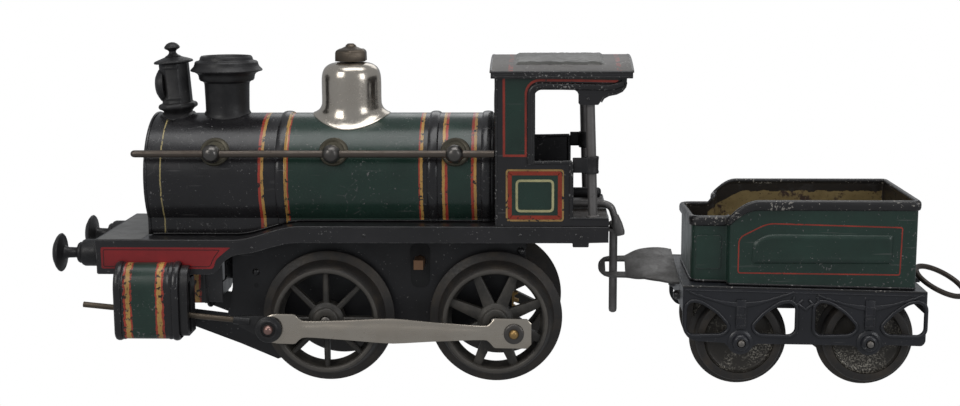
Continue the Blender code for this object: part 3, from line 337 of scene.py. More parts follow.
class Graph:
    """One material's nodes, with short names for wiring them. Object coordinates are row-frame metres."""

    def __init__(self, name):
        self.material = bpy.data.materials.new(name)
        self.material.use_nodes = True
        self.tree = self.material.node_tree
        self.shader = self.tree.nodes["Principled BSDF"]
        self.place = self.add("ShaderNodeTexCoord").outputs["Object"]

    def add(self, kind, **settings):
        node = self.tree.nodes.new(kind)
        for key, value in settings.items():
            setattr(node, key, value)
        return node

    def plug(self, socket, value):
        if isinstance(value, bpy.types.NodeSocket):
            self.tree.links.new(value, socket)
        elif isinstance(value, (tuple, list)) and len(value) == 3 and socket.type == "RGBA":
            socket.default_value = (*value, 1)
        else:
            socket.default_value = value

    def noise(self, scale, detail=3, roughness=0.55, stretch=(1, 1, 1), shift=0.0):
        mapping = self.add("ShaderNodeMapping")
        self.plug(mapping.inputs["Vector"], self.place)
        mapping.inputs["Scale"].default_value = stretch
        mapping.inputs["Location"].default_value = (shift, shift * 0.7, shift * 1.3)
        node = self.add("ShaderNodeTexNoise")
        self.plug(node.inputs["Vector"], mapping.outputs["Vector"])
        node.inputs["Scale"].default_value = scale
        node.inputs["Detail"].default_value = detail
        node.inputs["Roughness"].default_value = roughness
        return node.outputs["Fac"]

    def ramp(self, value, stops, mode="LINEAR"):
        node = self.add("ShaderNodeValToRGB")
        node.color_ramp.interpolation = mode
        elements = node.color_ramp.elements
        while len(elements) > 1:
            elements.remove(elements[-1])
        elements[0].position = stops[0][0]
        elements[0].color = self.rgba(stops[0][1])
        for position, colour in stops[1:]:
            elements.new(position).color = self.rgba(colour)
        self.plug(node.inputs["Fac"], value)
        return node.outputs["Color"]

    @staticmethod
    def rgba(colour):
        return (colour, colour, colour, 1) if isinstance(colour, (int, float)) else (*colour, 1)

    def math(self, operation, one, two=0.0, clamp=False):
        node = self.add("ShaderNodeMath", operation=operation, use_clamp=clamp)
        self.plug(node.inputs[0], one)
        self.plug(node.inputs[1], two)
        return node.outputs["Value"]

    def mix(self, factor, one, two, blend="MIX"):
        node = self.add("ShaderNodeMix", data_type="RGBA", blend_type=blend)
        self.plug(node.inputs["Factor"], factor)
        self.plug(node.inputs["A"], one)
        self.plug(node.inputs["B"], two)
        return node.outputs["Result"]

    def step(self, value, low, high):
        node = self.add("ShaderNodeMapRange")
        self.plug(node.inputs["Value"], value)
        node.inputs["From Min"].default_value = low
        node.inputs["From Max"].default_value = high
        return node.outputs["Result"]

    def span(self, value, low, high, out_low, out_high):
        node = self.add("ShaderNodeMapRange")
        self.plug(node.inputs["Value"], value)
        for socket, number in zip(("From Min", "From Max", "To Min", "To Max"),
                                  (low, high, out_low, out_high)):
            node.inputs[socket].default_value = number
        return node.outputs["Result"]

    def along(self, axis):
        node = self.add("ShaderNodeSeparateXYZ")
        self.plug(node.inputs[0], self.place)
        return node.outputs[axis]

    def edges(self, radius):
        """1 where the surface turns over an edge, 0 on flat ground."""
        bevel = self.add("ShaderNodeBevel", samples=6)
        bevel.inputs["Radius"].default_value = radius * MM
        geometry = self.add("ShaderNodeNewGeometry")
        dot = self.add("ShaderNodeVectorMath", operation="DOT_PRODUCT")
        self.plug(dot.inputs[0], bevel.outputs["Normal"])
        self.plug(dot.inputs[1], geometry.outputs["Normal"])
        return self.span(dot.outputs["Value"], 0.97, 0.75, 0, 1)

    def bump(self, height, strength, distance):
        node = self.add("ShaderNodeBump")
        node.inputs["Strength"].default_value = strength
        node.inputs["Distance"].default_value = distance * MM
        self.plug(node.inputs["Height"], height)
        self.plug(self.shader.inputs["Normal"], node.outputs["Normal"])

    def finish(self, colour, roughness, metallic=0.0, coat=0.0):
        self.plug(self.shader.inputs["Base Color"], colour)
        self.plug(self.shader.inputs["Roughness"], roughness)
        self.plug(self.shader.inputs["Metallic"], metallic)
        self.shader.inputs["Coat Weight"].default_value = coat
        self.shader.inputs["Coat Roughness"].default_value = 0.25
        return self.material


CHIP_GREY = (0.155, 0.150, 0.148)
BLACK = (0.0135, 0.0125, 0.0140)
GREEN = (0.0125, 0.0370, 0.0260)
LINE_RED = (0.400, 0.045, 0.026)
LINE_GOLD = (0.520, 0.300, 0.080)
LINE_CREAM = (0.560, 0.520, 0.270)


def age(graph, colour, fleck, seed, chip=CHIP_GREY, dirt=0.35):
    """Mottles a paint, scatters chips and hair scratches; returns the colour and the chip mask."""
    cloud = graph.noise(45, 4, 0.6, shift=seed)
    shade = graph.span(cloud, 0.3, 0.7, 1 - dirt, 1 + dirt)
    tint = graph.add("ShaderNodeVectorMath", operation="SCALE")
    graph.plug(tint.inputs[0], colour)
    graph.plug(tint.inputs["Scale"], shade)
    spots = graph.noise(1100, 2, 0.5, shift=seed + 3)
    patch = graph.noise(70, 3, 0.6, shift=seed + 9)
    limit = graph.span(patch, 0.35, 0.65, 0.80 - 0.02 * fleck, 0.72 - 0.06 * fleck)
    specks = graph.math("MULTIPLY", graph.math("SUBTRACT", spots, limit), 26, clamp=True)
    hair = graph.noise(420, 2, 0.4, stretch=(0.12, 1.0, 2.6), shift=seed + 5)
    hairs = graph.step(hair, 0.735 - 0.01 * fleck, 0.765)
    mask = graph.math("MAXIMUM", specks, graph.math("MULTIPLY", hairs, 0.35))
    return graph.mix(mask, tint.outputs["Vector"], chip), mask


def lacquer(name, colour, roughness=0.30, fleck=1.0, seed=0.0, edge=0.0, chip=CHIP_GREY, dirt=0.3, coat=0.3):
    """Stoved enamel on tinplate: mottled, flecked, worn to grey metal along its edges."""
    graph = Graph(name)
    shade, mask = age(graph, colour, fleck, seed, chip, dirt)
    if edge:
        broken = graph.step(graph.noise(260, 4, 0.65, shift=seed + 1), 0.44, 0.60)
        worn = graph.math("MULTIPLY", graph.edges(edge), broken)
        shade = graph.mix(worn, shade, chip)
        mask = graph.math("MAXIMUM", mask, worn)
    cloud = graph.noise(160, 3, 0.5, shift=seed + 2)
    rough = graph.span(cloud, 0.3, 0.7, roughness - 0.07, roughness + 0.10)
    rough = graph.math("ADD", rough, graph.math("MULTIPLY", mask, 0.25))
    peel = graph.noise(520, 3, 0.5, shift=seed + 4)
    height = graph.math("SUBTRACT", peel, graph.math("MULTIPLY", mask, 0.8))
    graph.bump(height, 0.35, 0.05)
    return graph.finish(shade, rough, coat=coat)


def metal(name, colour, roughness, tarnish, amount=0.5, seed=0.0, metallic=1.0, grain=(1, 1, 1), fine=900):
    """Bare or plated metal with tarnish clouds, spots and a fine drawn grain."""
    graph = Graph(name)
    cloud = graph.noise(90, 5, 0.65, shift=seed)
    spots = graph.noise(600, 3, 0.6, shift=seed + 2)
    film = graph.span(cloud, 0.38, 0.72, 0, amount)
    pits = graph.math("MULTIPLY", graph.step(spots, 0.62, 0.72), amount)
    mask = graph.math("MAXIMUM", film, pits)
    shade = graph.mix(mask, colour, tarnish)
    drawn = graph.noise(fine, 3, 0.5, stretch=grain, shift=seed + 4)
    rough = graph.span(drawn, 0.3, 0.7, roughness - 0.05, roughness + 0.08)
    rough = graph.math("ADD", rough, graph.math("MULTIPLY", mask, 0.3), clamp=True)
    bright = graph.span(mask, 0, 1, metallic, metallic * 0.45)
    graph.bump(graph.math("SUBTRACT", drawn, pits), 0.25, 0.03)
    return graph.finish(shade, rough, bright)


def cast(name, colour, worn, roughness=0.5, amount=0.4, seed=0.0, edge=0.5, metallic=0.25):
    """Blackened casting: grainy, rubbed grey on its edges and high spots."""
    graph = Graph(name)
    cloud = graph.noise(120, 5, 0.65, shift=seed)
    grit = graph.noise(1300, 2, 0.6, shift=seed + 2)
    rubbed = graph.math("MULTIPLY", graph.step(cloud, 0.45, 0.75), amount)
    flecks = graph.math("MULTIPLY", graph.step(grit, 0.66, 0.74), 0.7)
    broken = graph.step(graph.noise(330, 4, 0.65, shift=seed + 1), 0.40, 0.60)
    rim = graph.math("MULTIPLY", graph.edges(edge), broken)
    mask = graph.math("MAXIMUM", graph.math("MAXIMUM", rubbed, flecks), rim)
    shade = graph.mix(mask, colour, worn)
    rough = graph.span(grit, 0.3, 0.7, roughness - 0.08, roughness + 0.12)
    graph.bump(graph.math("ADD", grit, graph.math("MULTIPLY", cloud, 1.5)), 0.45, 0.06)
    return graph.finish(shade, rough, graph.span(mask, 0, 1, metallic * 0.3, metallic))


def speckled(name, colour, bright, roughness=0.42, seed=0.0):
    """Tin whose dark coating has worn to fine bright specks in patches."""
    graph = Graph(name)
    fine = graph.noise(1500, 2, 0.6, shift=seed)
    patch = graph.noise(90, 4, 0.65, shift=seed + 2)
    mask = graph.math("MULTIPLY", graph.step(fine, 0.50, 0.58), graph.step(patch, 0.45, 0.60))
    shade = graph.mix(mask, colour, bright)
    graph.bump(fine, 0.3, 0.04)
    return graph.finish(shade, graph.span(fine, 0.3, 0.7, roughness - 0.06, roughness + 0.10),
                        graph.span(mask, 0, 1, 0.25, 0.7))


def lining(name, colour, under, chips=0.5, seed=0.0):
    """A printed line, chipped so that the paint under it shows."""
    graph = Graph(name)
    spots = graph.noise(520, 3, 0.6, shift=seed)
    wash = graph.noise(140, 3, 0.6, shift=seed + 3)
    shade = graph.mix(graph.step(wash, 0.35, 0.7), colour, tuple(value * 0.62 for value in colour))
    gone = graph.step(spots, 0.70 - 0.14 * chips, 0.74 - 0.14 * chips)
    shade = graph.mix(gone, shade, under)
    graph.bump(graph.noise(520, 3, 0.5, shift=seed + 4), 0.3, 0.04)
    return graph.finish(shade, graph.span(wash, 0.3, 0.7, 0.28, 0.42), coat=0.25)


BAND_LINES = [(-94.95, -94.05, LINE_RED), (-94.05, -93.1, LINE_GOLD), (-84.7, -83.8, LINE_GOLD),
              (-83.8, -82.9, LINE_RED), (-31.0, -30.1, LINE_RED), (-30.1, -29.1, LINE_GOLD),
              (-21.4, -20.4, LINE_GOLD), (-20.4, -19.5, LINE_RED), (-9.8, -8.6, LINE_RED),
              (-8.6, -7.5, LINE_GOLD)]
THIN_LINES = [(-138.3, -137.9, (0.10, 0.022, 0.016)), (-134.5, -133.95, (0.42, 0.34, 0.15))]
GREEN_SPANS = [(-82.9, -31.0), (-19.5, -9.8)]
BOILER_SPAN = (-141.1, -0.3)
CYLINDER_X = (-150.9, -125.5)
CYLINDER_LINES = [(-147.4, LINE_RED, 1), (-146.5, LINE_GOLD, 1), (-144.6, LINE_RED, 1), (-143.9, GREEN, 0),
                  (-134.6, LINE_RED, 1), (-133.9, LINE_GOLD, 1), (-132.0, LINE_RED, 1), (-131.1, BLACK, 0)]


def boiler_paint():
    """Black smokebox, green barrel and lined bands, all by the place along the boiler."""
    graph = Graph("boiler_paint")
    jitter = graph.span(graph.noise(380, 3, 0.6), 0.3, 0.7, -0.12 * MM, 0.12 * MM)
    x = graph.math("ADD", graph.along("X"), jitter)
    low, high = [(value + X0) * MM for value in BOILER_SPAN]
    t = graph.step(x, low, high)

    def place(value):
        return (value - BOILER_SPAN[0]) / (BOILER_SPAN[1] - BOILER_SPAN[0])

    paints = [(a, b, GREEN) for a, b in GREEN_SPANS] + BAND_LINES + THIN_LINES
    stops, edge = [(0.0, BLACK)], BOILER_SPAN[0]
    lines = [(0.0, 0.0)]
    for start, end, colour in sorted(paints):
        if start > edge + 0.01:
            stops.append((place(edge), BLACK))
            lines.append((place(edge), 0.0))
        stops.append((place(start), colour))
        lines.append((place(start), 0.0 if colour == GREEN else 1.0))
        edge = end
    stops.append((place(edge), BLACK))
    lines.append((place(edge), 0.0))
    colour = graph.ramp(t, stops, "CONSTANT")
    is_line = graph.ramp(t, lines, "CONSTANT")
    spots = graph.step(graph.noise(430, 4, 0.65, shift=2), 0.57, 0.63)
    colour = graph.mix(graph.math("MULTIPLY", spots, is_line), colour, BLACK)
    shade, mask = age(graph, colour, 1.3, 1.0, dirt=0.25)
    rings = graph.add("ShaderNodeTexVoronoi", feature="DISTANCE_TO_EDGE")
    graph.plug(rings.inputs["Vector"], graph.place)
    rings.inputs["Scale"].default_value = 150
    crackle = graph.math("SUBTRACT", 1, graph.step(rings.outputs["Distance"], 0.0, 0.035))
    patch = graph.step(graph.noise(55, 3, 0.6, shift=7), 0.56, 0.66)
    broken = graph.step(graph.noise(700, 2, 0.5, shift=8), 0.5, 0.62)
    scuff = graph.math("MULTIPLY", graph.math("MULTIPLY", crackle, patch), broken)
    shade = graph.mix(graph.math("MULTIPLY", scuff, 0.8), shade, CHIP_GREY)
    rough = graph.span(graph.noise(130, 3, 0.5, shift=5), 0.3, 0.7, 0.20, 0.34)
    rough = graph.math("ADD", rough, graph.math("MULTIPLY", mask, 0.25))
    graph.bump(graph.math("SUBTRACT", graph.noise(300, 3, 0.5, shift=4), mask), 0.25, 0.05)
    return graph.finish(shade, rough, coat=0.35)


green_enamel = lacquer("green_enamel", GREEN, 0.30, 0.8, 1.0, edge=0.35)
tender_green = lacquer("tender_green", GREEN, 0.34, 1.3, 2.5, edge=0.5, dirt=0.3)
black_enamel = lacquer("black_enamel", BLACK, 0.33, 1.2, 4.0, edge=0.4)
board_black = lacquer("board_black", BLACK, 0.38, 1.6, 5.0, edge=0.5, dirt=0.35)
bead_black = lacquer("bead_black", (0.016, 0.015, 0.016), 0.30, 2.5, 6.0, edge=0.25, chip=(0.26, 0.25, 0.24))
frame_black = lacquer("frame_black", (0.0140, 0.0145, 0.0190), 0.36, 0.7, 8.0, edge=0.35)
plate_black = lacquer("plate_black", (0.0120, 0.0115, 0.0130), 0.45, 0.8, 9.0, dirt=0.35, coat=0.05)
# Grey of the front deck's top is painted sheen, light on black paint seen from above; its darker chips and
# mottling are wear.
deck_sheen_grey = lacquer("deck_sheen_grey", (0.115, 0.112, 0.105), 0.42, 1.5, 11.0, chip=(0.045, 0.043, 0.042),
                    dirt=0.25)
inner_grey = lacquer("inner_grey", (0.044, 0.048, 0.037), 0.50, 0.8, 12.0, chip=(0.10, 0.09, 0.08), coat=0.05)
rusty_black = lacquer("rusty_black", (0.024, 0.017, 0.013), 0.55, 2.0, 47.0, chip=(0.075, 0.042, 0.026),
                      dirt=0.5, coat=0.0)
valance_red = lacquer("valance_red", (0.260, 0.0120, 0.0140), 0.32, 0.7, 13.0, chip=(0.04, 0.02, 0.02),
                      dirt=0.3)
cast_black = cast("cast_black", (0.0150, 0.0145, 0.0155), (0.085, 0.082, 0.080), 0.42, 0.35, 14.0)
wheel_face = cast("wheel_face", (0.090, 0.082, 0.072), (0.200, 0.185, 0.165), 0.45, 0.5, 16.0, metallic=0.6)
spoke_iron = cast("spoke_iron", (0.040, 0.037, 0.033), (0.150, 0.135, 0.115), 0.46, 0.6, 17.0, metallic=0.5)
tyre_brown = cast("tyre_brown", (0.0330, 0.0300, 0.0280), (0.110, 0.085, 0.060), 0.50, 0.5, 18.0,
                  metallic=0.4)
tin_wheel = speckled("tin_wheel", (0.045, 0.040, 0.034), (0.420, 0.390, 0.330), seed=19.0)
nickel = metal("nickel", (0.700, 0.640, 0.560), 0.16, (0.300, 0.250, 0.190), 0.30, 20.0)
rod_nickel = metal("rod_nickel", (0.620, 0.560, 0.480), 0.20, (0.270, 0.220, 0.170), 0.40, 21.0,
                   grain=(0.1, 1, 1))
rail_steel = metal("rail_steel", (0.150, 0.128, 0.110), 0.34, (0.070, 0.050, 0.038), 0.6, 22.0,
                   grain=(0.1, 1, 1))
knob_steel = metal("knob_steel", (0.150, 0.142, 0.135), 0.28, (0.070, 0.060, 0.052), 0.5, 23.0)
bare_steel = metal("bare_steel", (0.300, 0.285, 0.265), 0.36, (0.110, 0.088, 0.070), 0.6, 24.0)
tongue_steel = metal("tongue_steel", (0.165, 0.160, 0.155), 0.44, (0.060, 0.054, 0.050), 0.7, 25.0,
                     metallic=0.8)
loop_brown = metal("loop_brown", (0.075, 0.062, 0.052), 0.42, (0.040, 0.026, 0.018), 0.7, 26.0, metallic=0.6)
pipe_grey = metal("pipe_grey", (0.235, 0.224, 0.218), 0.40, (0.065, 0.058, 0.055), 0.55, 27.0, metallic=0.7)
dull_rod = metal("dull_rod", (0.130, 0.105, 0.080), 0.40, (0.080, 0.062, 0.045), 0.6, 28.0, metallic=0.8)
nut_bronze = metal("nut_bronze", (0.150, 0.125, 0.100), 0.34, (0.085, 0.060, 0.040), 0.6, 29.0)
brass = metal("brass", (0.560, 0.360, 0.140), 0.28, (0.220, 0.120, 0.050), 0.5, 30.0)
bronze = metal("bronze", (0.330, 0.190, 0.115), 0.36, (0.130, 0.070, 0.040), 0.6, 31.0)
spring_steel = metal("spring_steel", (0.140, 0.145, 0.165), 0.30, (0.060, 0.055, 0.055), 0.4, 32.0)
boiler_coat = boiler_paint()
# Matte near-black: painted shade, standing for the dark inside a recess and a hole in the mechanism plate.
hole_shade_black = lacquer("hole_shade_black", (0.004, 0.004, 0.0045), 0.6, 0.3, 40.0, coat=0.0)
bracket_grey = lacquer("bracket_grey", (0.035, 0.034, 0.036), 0.40, 1.2, 41.0, edge=0.3)
rim_black = lacquer("rim_black", (0.0150, 0.0140, 0.0150), 0.34, 2.6, 42.0, edge=0.3, chip=(0.30, 0.28, 0.25))
washer_metal = metal("washer_metal", (0.095, 0.085, 0.060), 0.34, (0.030, 0.028, 0.024), 0.5, 43.0,
                     metallic=0.6)
stud_red = metal("stud_red", (0.420, 0.270, 0.240), 0.25, (0.200, 0.080, 0.060), 0.5, 44.0)
solder_grey = lacquer("solder_grey", (0.085, 0.084, 0.074), 0.48, 1.2, 45.0, chip=(0.030, 0.029, 0.026),
                      dirt=0.35)
line_red = lining("line_red", LINE_RED, GREEN, 0.35, 50.0)
line_orange = lining("line_orange", (0.360, 0.040, 0.016), BLACK, 0.35, 51.0)
line_gold = lining("line_gold", (0.430, 0.260, 0.085), BLACK, 0.7, 52.0)
line_cream = lining("line_cream", LINE_CREAM, GREEN, 0.2, 53.0)
line_dark = lining("line_dark", (0.022, 0.004, 0.005), (0.15, 0.009, 0.01), 0.5, 54.0)


def cylinder_paint():
    """Black ends, green middle and two gold-on-red bands by the place along the cylinder."""
    graph = Graph("cylinder_paint")
    jitter = graph.span(graph.noise(500, 3, 0.6, shift=60), 0.3, 0.7, -0.3 * MM, 0.3 * MM)
    low, high = [(value + X0) * MM for value in CYLINDER_X]
    t = graph.step(graph.math("ADD", graph.along("X"), jitter), low, high)
    stops, lines = [(0.0, BLACK)], [(0.0, 0.0)]
    for start, colour, line in CYLINDER_LINES:
        place = (start - CYLINDER_X[0]) / (CYLINDER_X[1] - CYLINDER_X[0])
        stops.append((place, colour))
        lines.append((place, float(line)))
    colour = graph.ramp(t, stops, "CONSTANT")
    is_line = graph.ramp(t, lines, "CONSTANT")
    spots = graph.step(graph.noise(560, 3, 0.6, shift=61), 0.55, 0.61)
    colour = graph.mix(graph.math("MULTIPLY", spots, is_line), colour, (0.035, 0.014, 0.008))
    shade, mask = age(graph, colour, 1.8, 62.0, dirt=0.35)
    rough = graph.span(graph.noise(130, 3, 0.5, shift=63), 0.3, 0.7, 0.22, 0.38)
    graph.bump(graph.math("SUBTRACT", graph.noise(330, 3, 0.5, shift=64), mask), 0.3, 0.05)
    return graph.finish(shade, graph.math("ADD", rough, graph.math("MULTIPLY", mask, 0.25)), coat=0.35)


def roof_paint():
    """Grey paint worn to brown, with faint red lines near the front and rear."""
    graph = Graph("roof_paint")
    cloud = graph.noise(70, 5, 0.65, shift=70)
    colour = graph.ramp(cloud, [(0.30, (0.040, 0.034, 0.030)), (0.48, (0.078, 0.070, 0.063)),
                                (0.62, (0.110, 0.102, 0.093)), (0.75, (0.060, 0.049, 0.041))])
    x = graph.along("X")
    for low, high in ((5.4, 7.2), (47.4, 49.2)):
        inside = graph.math("MULTIPLY", graph.math("GREATER_THAN", x, (low + X0) * MM),
                            graph.math("LESS_THAN", x, (high + X0) * MM))
        left = graph.step(graph.noise(330, 4, 0.65, shift=71), 0.46, 0.54)
        colour = graph.mix(graph.math("MULTIPLY", graph.math("MULTIPLY", inside, left), 0.75), colour,
                           (0.26, 0.060, 0.050))
    shade, _ = age(graph, colour, 2.0, 72.0, chip=(0.26, 0.25, 0.23), dirt=0.3)
    dark = graph.step(graph.noise(520, 3, 0.6, shift=73), 0.60, 0.68)
    shade = graph.mix(graph.math("MULTIPLY", dark, 0.7), shade, (0.030, 0.026, 0.023))
    graph.bump(graph.math("ADD", graph.noise(400, 4, 0.6, shift=74), graph.math("MULTIPLY", cloud, 2.0)),
               0.5, 0.06)
    return graph.finish(shade, graph.span(cloud, 0.3, 0.7, 0.38, 0.55), coat=0.1)


def bunker_paint():
    """Golden tan lacquer inside the tender, rusting through, black on the nose and below the rim."""
    graph = Graph("bunker_paint")
    cloud = graph.noise(60, 4, 0.6, shift=80)
    colour = graph.ramp(cloud, [(0.3, (0.135, 0.095, 0.038)), (0.5, (0.235, 0.175, 0.078)),
                                (0.7, (0.180, 0.130, 0.055))])
    rust = graph.step(graph.noise(190, 5, 0.7, shift=81), 0.56, 0.64)
    colour = graph.mix(rust, colour, (0.042, 0.022, 0.014))
    x, z = graph.along("X"), graph.along("Z")
    ragged = graph.span(graph.noise(240, 3, 0.6, shift=84), 0.3, 0.7, -0.5 * MM, 0.5 * MM)
    edge = graph.span(x, (89.0 + X0) * MM, (104.0 + X0) * MM, 62.5 * MM, 70.6 * MM)
    above = graph.math("GREATER_THAN", graph.math("ADD", z, ragged), edge)
    nose = graph.math("LESS_THAN", graph.math("ADD", x, ragged), (89.8 + X0) * MM)
    back = graph.math("GREATER_THAN", x, (164.2 + X0) * MM)
    black = graph.math("MAXIMUM", graph.math("MAXIMUM", above, nose), back)
    line = graph.math("SUBTRACT", graph.math("GREATER_THAN", z, 73.9 * MM),
                      graph.math("GREATER_THAN", z, 74.4 * MM))
    left = graph.step(graph.noise(260, 3, 0.6, shift=85), 0.42, 0.5)
    colour = graph.mix(black, colour, (0.018, 0.015, 0.013))
    colour = graph.mix(graph.math("MULTIPLY", line, left), colour, (0.240, 0.170, 0.070))
    specks = graph.step(graph.noise(800, 2, 0.5, shift=82), 0.64, 0.70)
    colour = graph.mix(specks, colour, (0.030, 0.018, 0.012))
    graph.bump(graph.math("ADD", graph.noise(420, 3, 0.5, shift=83), rust), 0.35, 0.06)
    return graph.finish(colour, graph.span(rust, 0, 1, 0.38, 0.75), coat=0.05)


cap_black = lacquer("cap_black", (0.0130, 0.0120, 0.0125), 0.36, 1.0, 46.0, edge=0.4)
cylinder_coat = cylinder_paint()
roof_coat = roof_paint()
bunker_tan = bunker_paint()


# ---------------------------------------------------------------- sizes shared by several pieces

SHEET = 0.8
GAP = 0.3
BOARD_HALF_WIDTH = 30.9
DECK_Z = 59.7
BOARD_Z = 65.3
STEP_X = (-105.0, -78.0)
BEAM_X = -160.1
MOTOR_SLOT_X = (-70.0, 22.0)            # opening in the board that clears the great wheel
MOTOR_SLOT_HALF_WIDTH = 16.8
BOILER_Z = 82.0
BOILER_R = 25.36
CREASE_Z = 66.8
BAND_XS = (-86.0, -25.1, -3.7)
BAND_HALF = 2.1
BEAD_X, BEAD_HALF = -140.45, 0.65       # bead at the smokebox's front edge
CHIMNEY_X = -111.4
DOME_X = -59.8
LAMP_X = -131.9
LAMP_LEAN = radians(-4)
RAIL_Y = 29.0
RAIL_Z = 94.0
KNOB_XS = (-112.4, -64.6, -15.9)
CAB_HALF_WIDTH = 30.0
CAB_DOOR_X = 30.3
CAB_REAR_X = 44.9
CAB_FLOOR_Z = 68.4
FLANGE_Y = 21.9
FACE_Y = 31.3
ROD_Y = 35.3
PISTON_ROD_Y = 33.4
CRANK_ANGLES = {"left": radians(-26), "right": radians(-26) + pi / 2}
CRANK_THROW = 8.35
ROD_CENTRES = 97.6
ROD_RISE = 1.5


def board_height(x):
    """Top of the running board, which climbs in a smooth S from the front deck."""
    t = min(max((x - STEP_X[0]) / (STEP_X[1] - STEP_X[0]), 0), 1)
    return DECK_Z + (BOARD_Z - DECK_Z) * t * t * (3 - 2 * t)


def step_points(offset, count=14):
    xs = [STEP_X[0] + (STEP_X[1] - STEP_X[0]) * i / count for i in range(count + 1)]
    return [(x, board_height(x) + offset) for x in xs]


def boiler_top(y, radius=BOILER_R):
    return BOILER_Z + sqrt(max(radius ** 2 - y ** 2, 1.0))


# ---------------------------------------------------------------- running board and frame

def make_running_board():
    """Folded sheet: a top that is open for the motor, valances with a rolled top edge, and end beams."""
    top = [(BEAM_X, DECK_Z), *step_points(0), (CAB_REAR_X, BOARD_Z)]
    under = [(x, z - SHEET) for x, z in reversed(top)]
    outer, slot = BOARD_HALF_WIDTH - 0.15, MOTOR_SLOT_HALF_WIDTH
    parts = [plate("board_side", top + under, outer - slot, "XZ", side * (outer + slot) / 2)
             for side in SIDES.values()]
    low, high = MOTOR_SLOT_X
    for line in ([*top[:-1], (low, BOARD_Z)], [(high, BOARD_Z), (CAB_REAR_X, BOARD_Z)]):
        strip = line + [(x, z - SHEET) for x, z in reversed(line)]
        parts.append(plate("board_middle", strip, 2 * slot + 0.1, "XZ"))
    lower = rounded([(BEAM_X + 0.1, 45.6), (-112.0, 45.6), (-108.3, 51.2), (-104.0, 53.6), (-97.0, 54.4),
                     (-90.0, 56.5), (-82.0, 58.6), (30.6, 58.8), (30.6, 57.2), (37.0, 57.2), (37.0, 58.9),
                     (CAB_REAR_X - 0.1, 59.1)], [0.6, 3, 4, 6, 6, 6, 6, 0.4, 0.6, 0.6, 0.4, 0.6])
    outline = lower + [(CAB_REAR_X - 0.1, BOARD_Z - 0.25), *reversed(step_points(-0.25)),
                       (BEAM_X + 0.1, DECK_Z - 0.25)]
    for side in SIDES.values():
        parts.append(plate("valance", outline, SHEET, "XZ", side * (BOARD_HALF_WIDTH - SHEET / 2)))
        edge = [(BEAM_X + 0.5, DECK_Z - 0.45), *step_points(-0.45), (CAB_REAR_X - 0.4, BOARD_Z - 0.45)]
        parts.append(tube("board_edge", on_side(edge, side * (BOARD_HALF_WIDTH - 0.42)), 0.5, resolution=3))
    half = BOARD_HALF_WIDTH - 0.3
    beam = rounded_box((-half, half), (45.7, DECK_Z - 0.2), 0.6)
    parts.append(plate("front_beam", beam, SHEET, "YZ", BEAM_X + 0.55))
    beam = [(-half, 59.0), (half, 59.0), (half, BOARD_Z - 0.2), (-half, BOARD_Z - 0.2)]
    parts.append(plate("rear_beam", beam, SHEET, "YZ", CAB_REAR_X - 0.55))
    board = bevelled(merged("running_board_sheet", *parts), 0.18)
    dress(board, "engine", "black_enamel", board_black, "running_board")

    # The deck top's grey, inside this outline, is painted sheen of light on the black deck; only its darker
    # chips are wear.
    worn = [(BEAM_X + 0.8, -half + 0.4), (-141.6, -half + 0.4), (-141.6, half - 0.4),
            (BEAM_X + 0.8, half - 0.4)]
    deck = plate("front_deck_top", rounded(worn, 1.0), 0.08, "XY", DECK_Z + 0.02)
    dress(deck, "engine", "black_enamel", deck_sheen_grey)
    for name, side in SIDES.items():
        level = side * (BOARD_HALF_WIDTH + 0.02)
        red = rounded([(-157.9, 47.9), (-112.6, 47.9), (-111.7, 51.6), (-105.6, 56.6), (-157.9, 56.6)],
                      [0.8, 1.5, 4, 0.2, 0.8])
        dress(plate(f"valance_panel_{name}", red, 0.08, "XZ", level), "engine", "green_lithograph",
              valance_red)
        inner = rounded([(-156.9, 48.8), (-113.9, 48.8), (-112.7, 52.0), (-110.0, 55.6), (-156.9, 55.6)],
                        [0.5, 1.2, 3, 0.3, 0.5])
        frame_line(f"valance_line_{name}", inner, 0.28, side, abs(level) + 0.03,
                   "engine", "green_lithograph", line_dark)
        rivets = ((-97.0, 56.2), (-52.0, 61.6), (10.0, 61.8), (34.0, 61.0))
        dress(merged(f"board_rivets_{name}", *[rivet((x, side * BOARD_HALF_WIDTH, z), side, 0.75)
                                               for x, z in rivets]), "engine", "black_enamel", bead_black)


def rivet(at, side, radius):
    profile = [(0, radius * 0.55), (radius * 0.5, radius * 0.48), (radius * 0.85, radius * 0.25),
               (radius, 0), (0, 0)]
    return lathe("rivet", profile, at, outward(side), 12)


def frame_line(name, outline, width, side, level, body, slot, material, closed=True, thick=0.06):
    """A thin painted line of even width that follows an outline on one side."""
    count = len(outline)
    shape = bmesh.new()
    rows = []
    for index, point in enumerate(outline):
        before = Vector(outline[index - 1] if closed or index else outline[index])
        after = Vector(outline[(index + 1) % count] if closed or index < count - 1 else outline[index])
        here = Vector(point)
        one = (here - before).normalized() if (here - before).length else (after - here).normalized()
        two = (after - here).normalized() if (after - here).length else one
        mid = (Vector((-one.y, one.x)) + Vector((-two.y, two.x)))
        mid = mid.normalized() if mid.length > 1e-6 else Vector((-one.y, one.x))
        reach = width / 2 / max(mid.dot(Vector((-one.y, one.x))), 0.5)
        ring = []
        for across, lift in ((-1, 0), (-1, thick), (1, thick), (1, 0)):
            spot = here + mid * reach * across
            ring.append(shape.verts.new((spot.x, side * (level + lift), spot.y)))
        rows.append(ring)
    skin(shape, rows, along=closed)
    if not closed:
        shape.faces.new(rows[0])
        shape.faces.new(rows[-1])
    return dress(new_object(name, shape_mesh(name, shape, 30)), body, slot, material)


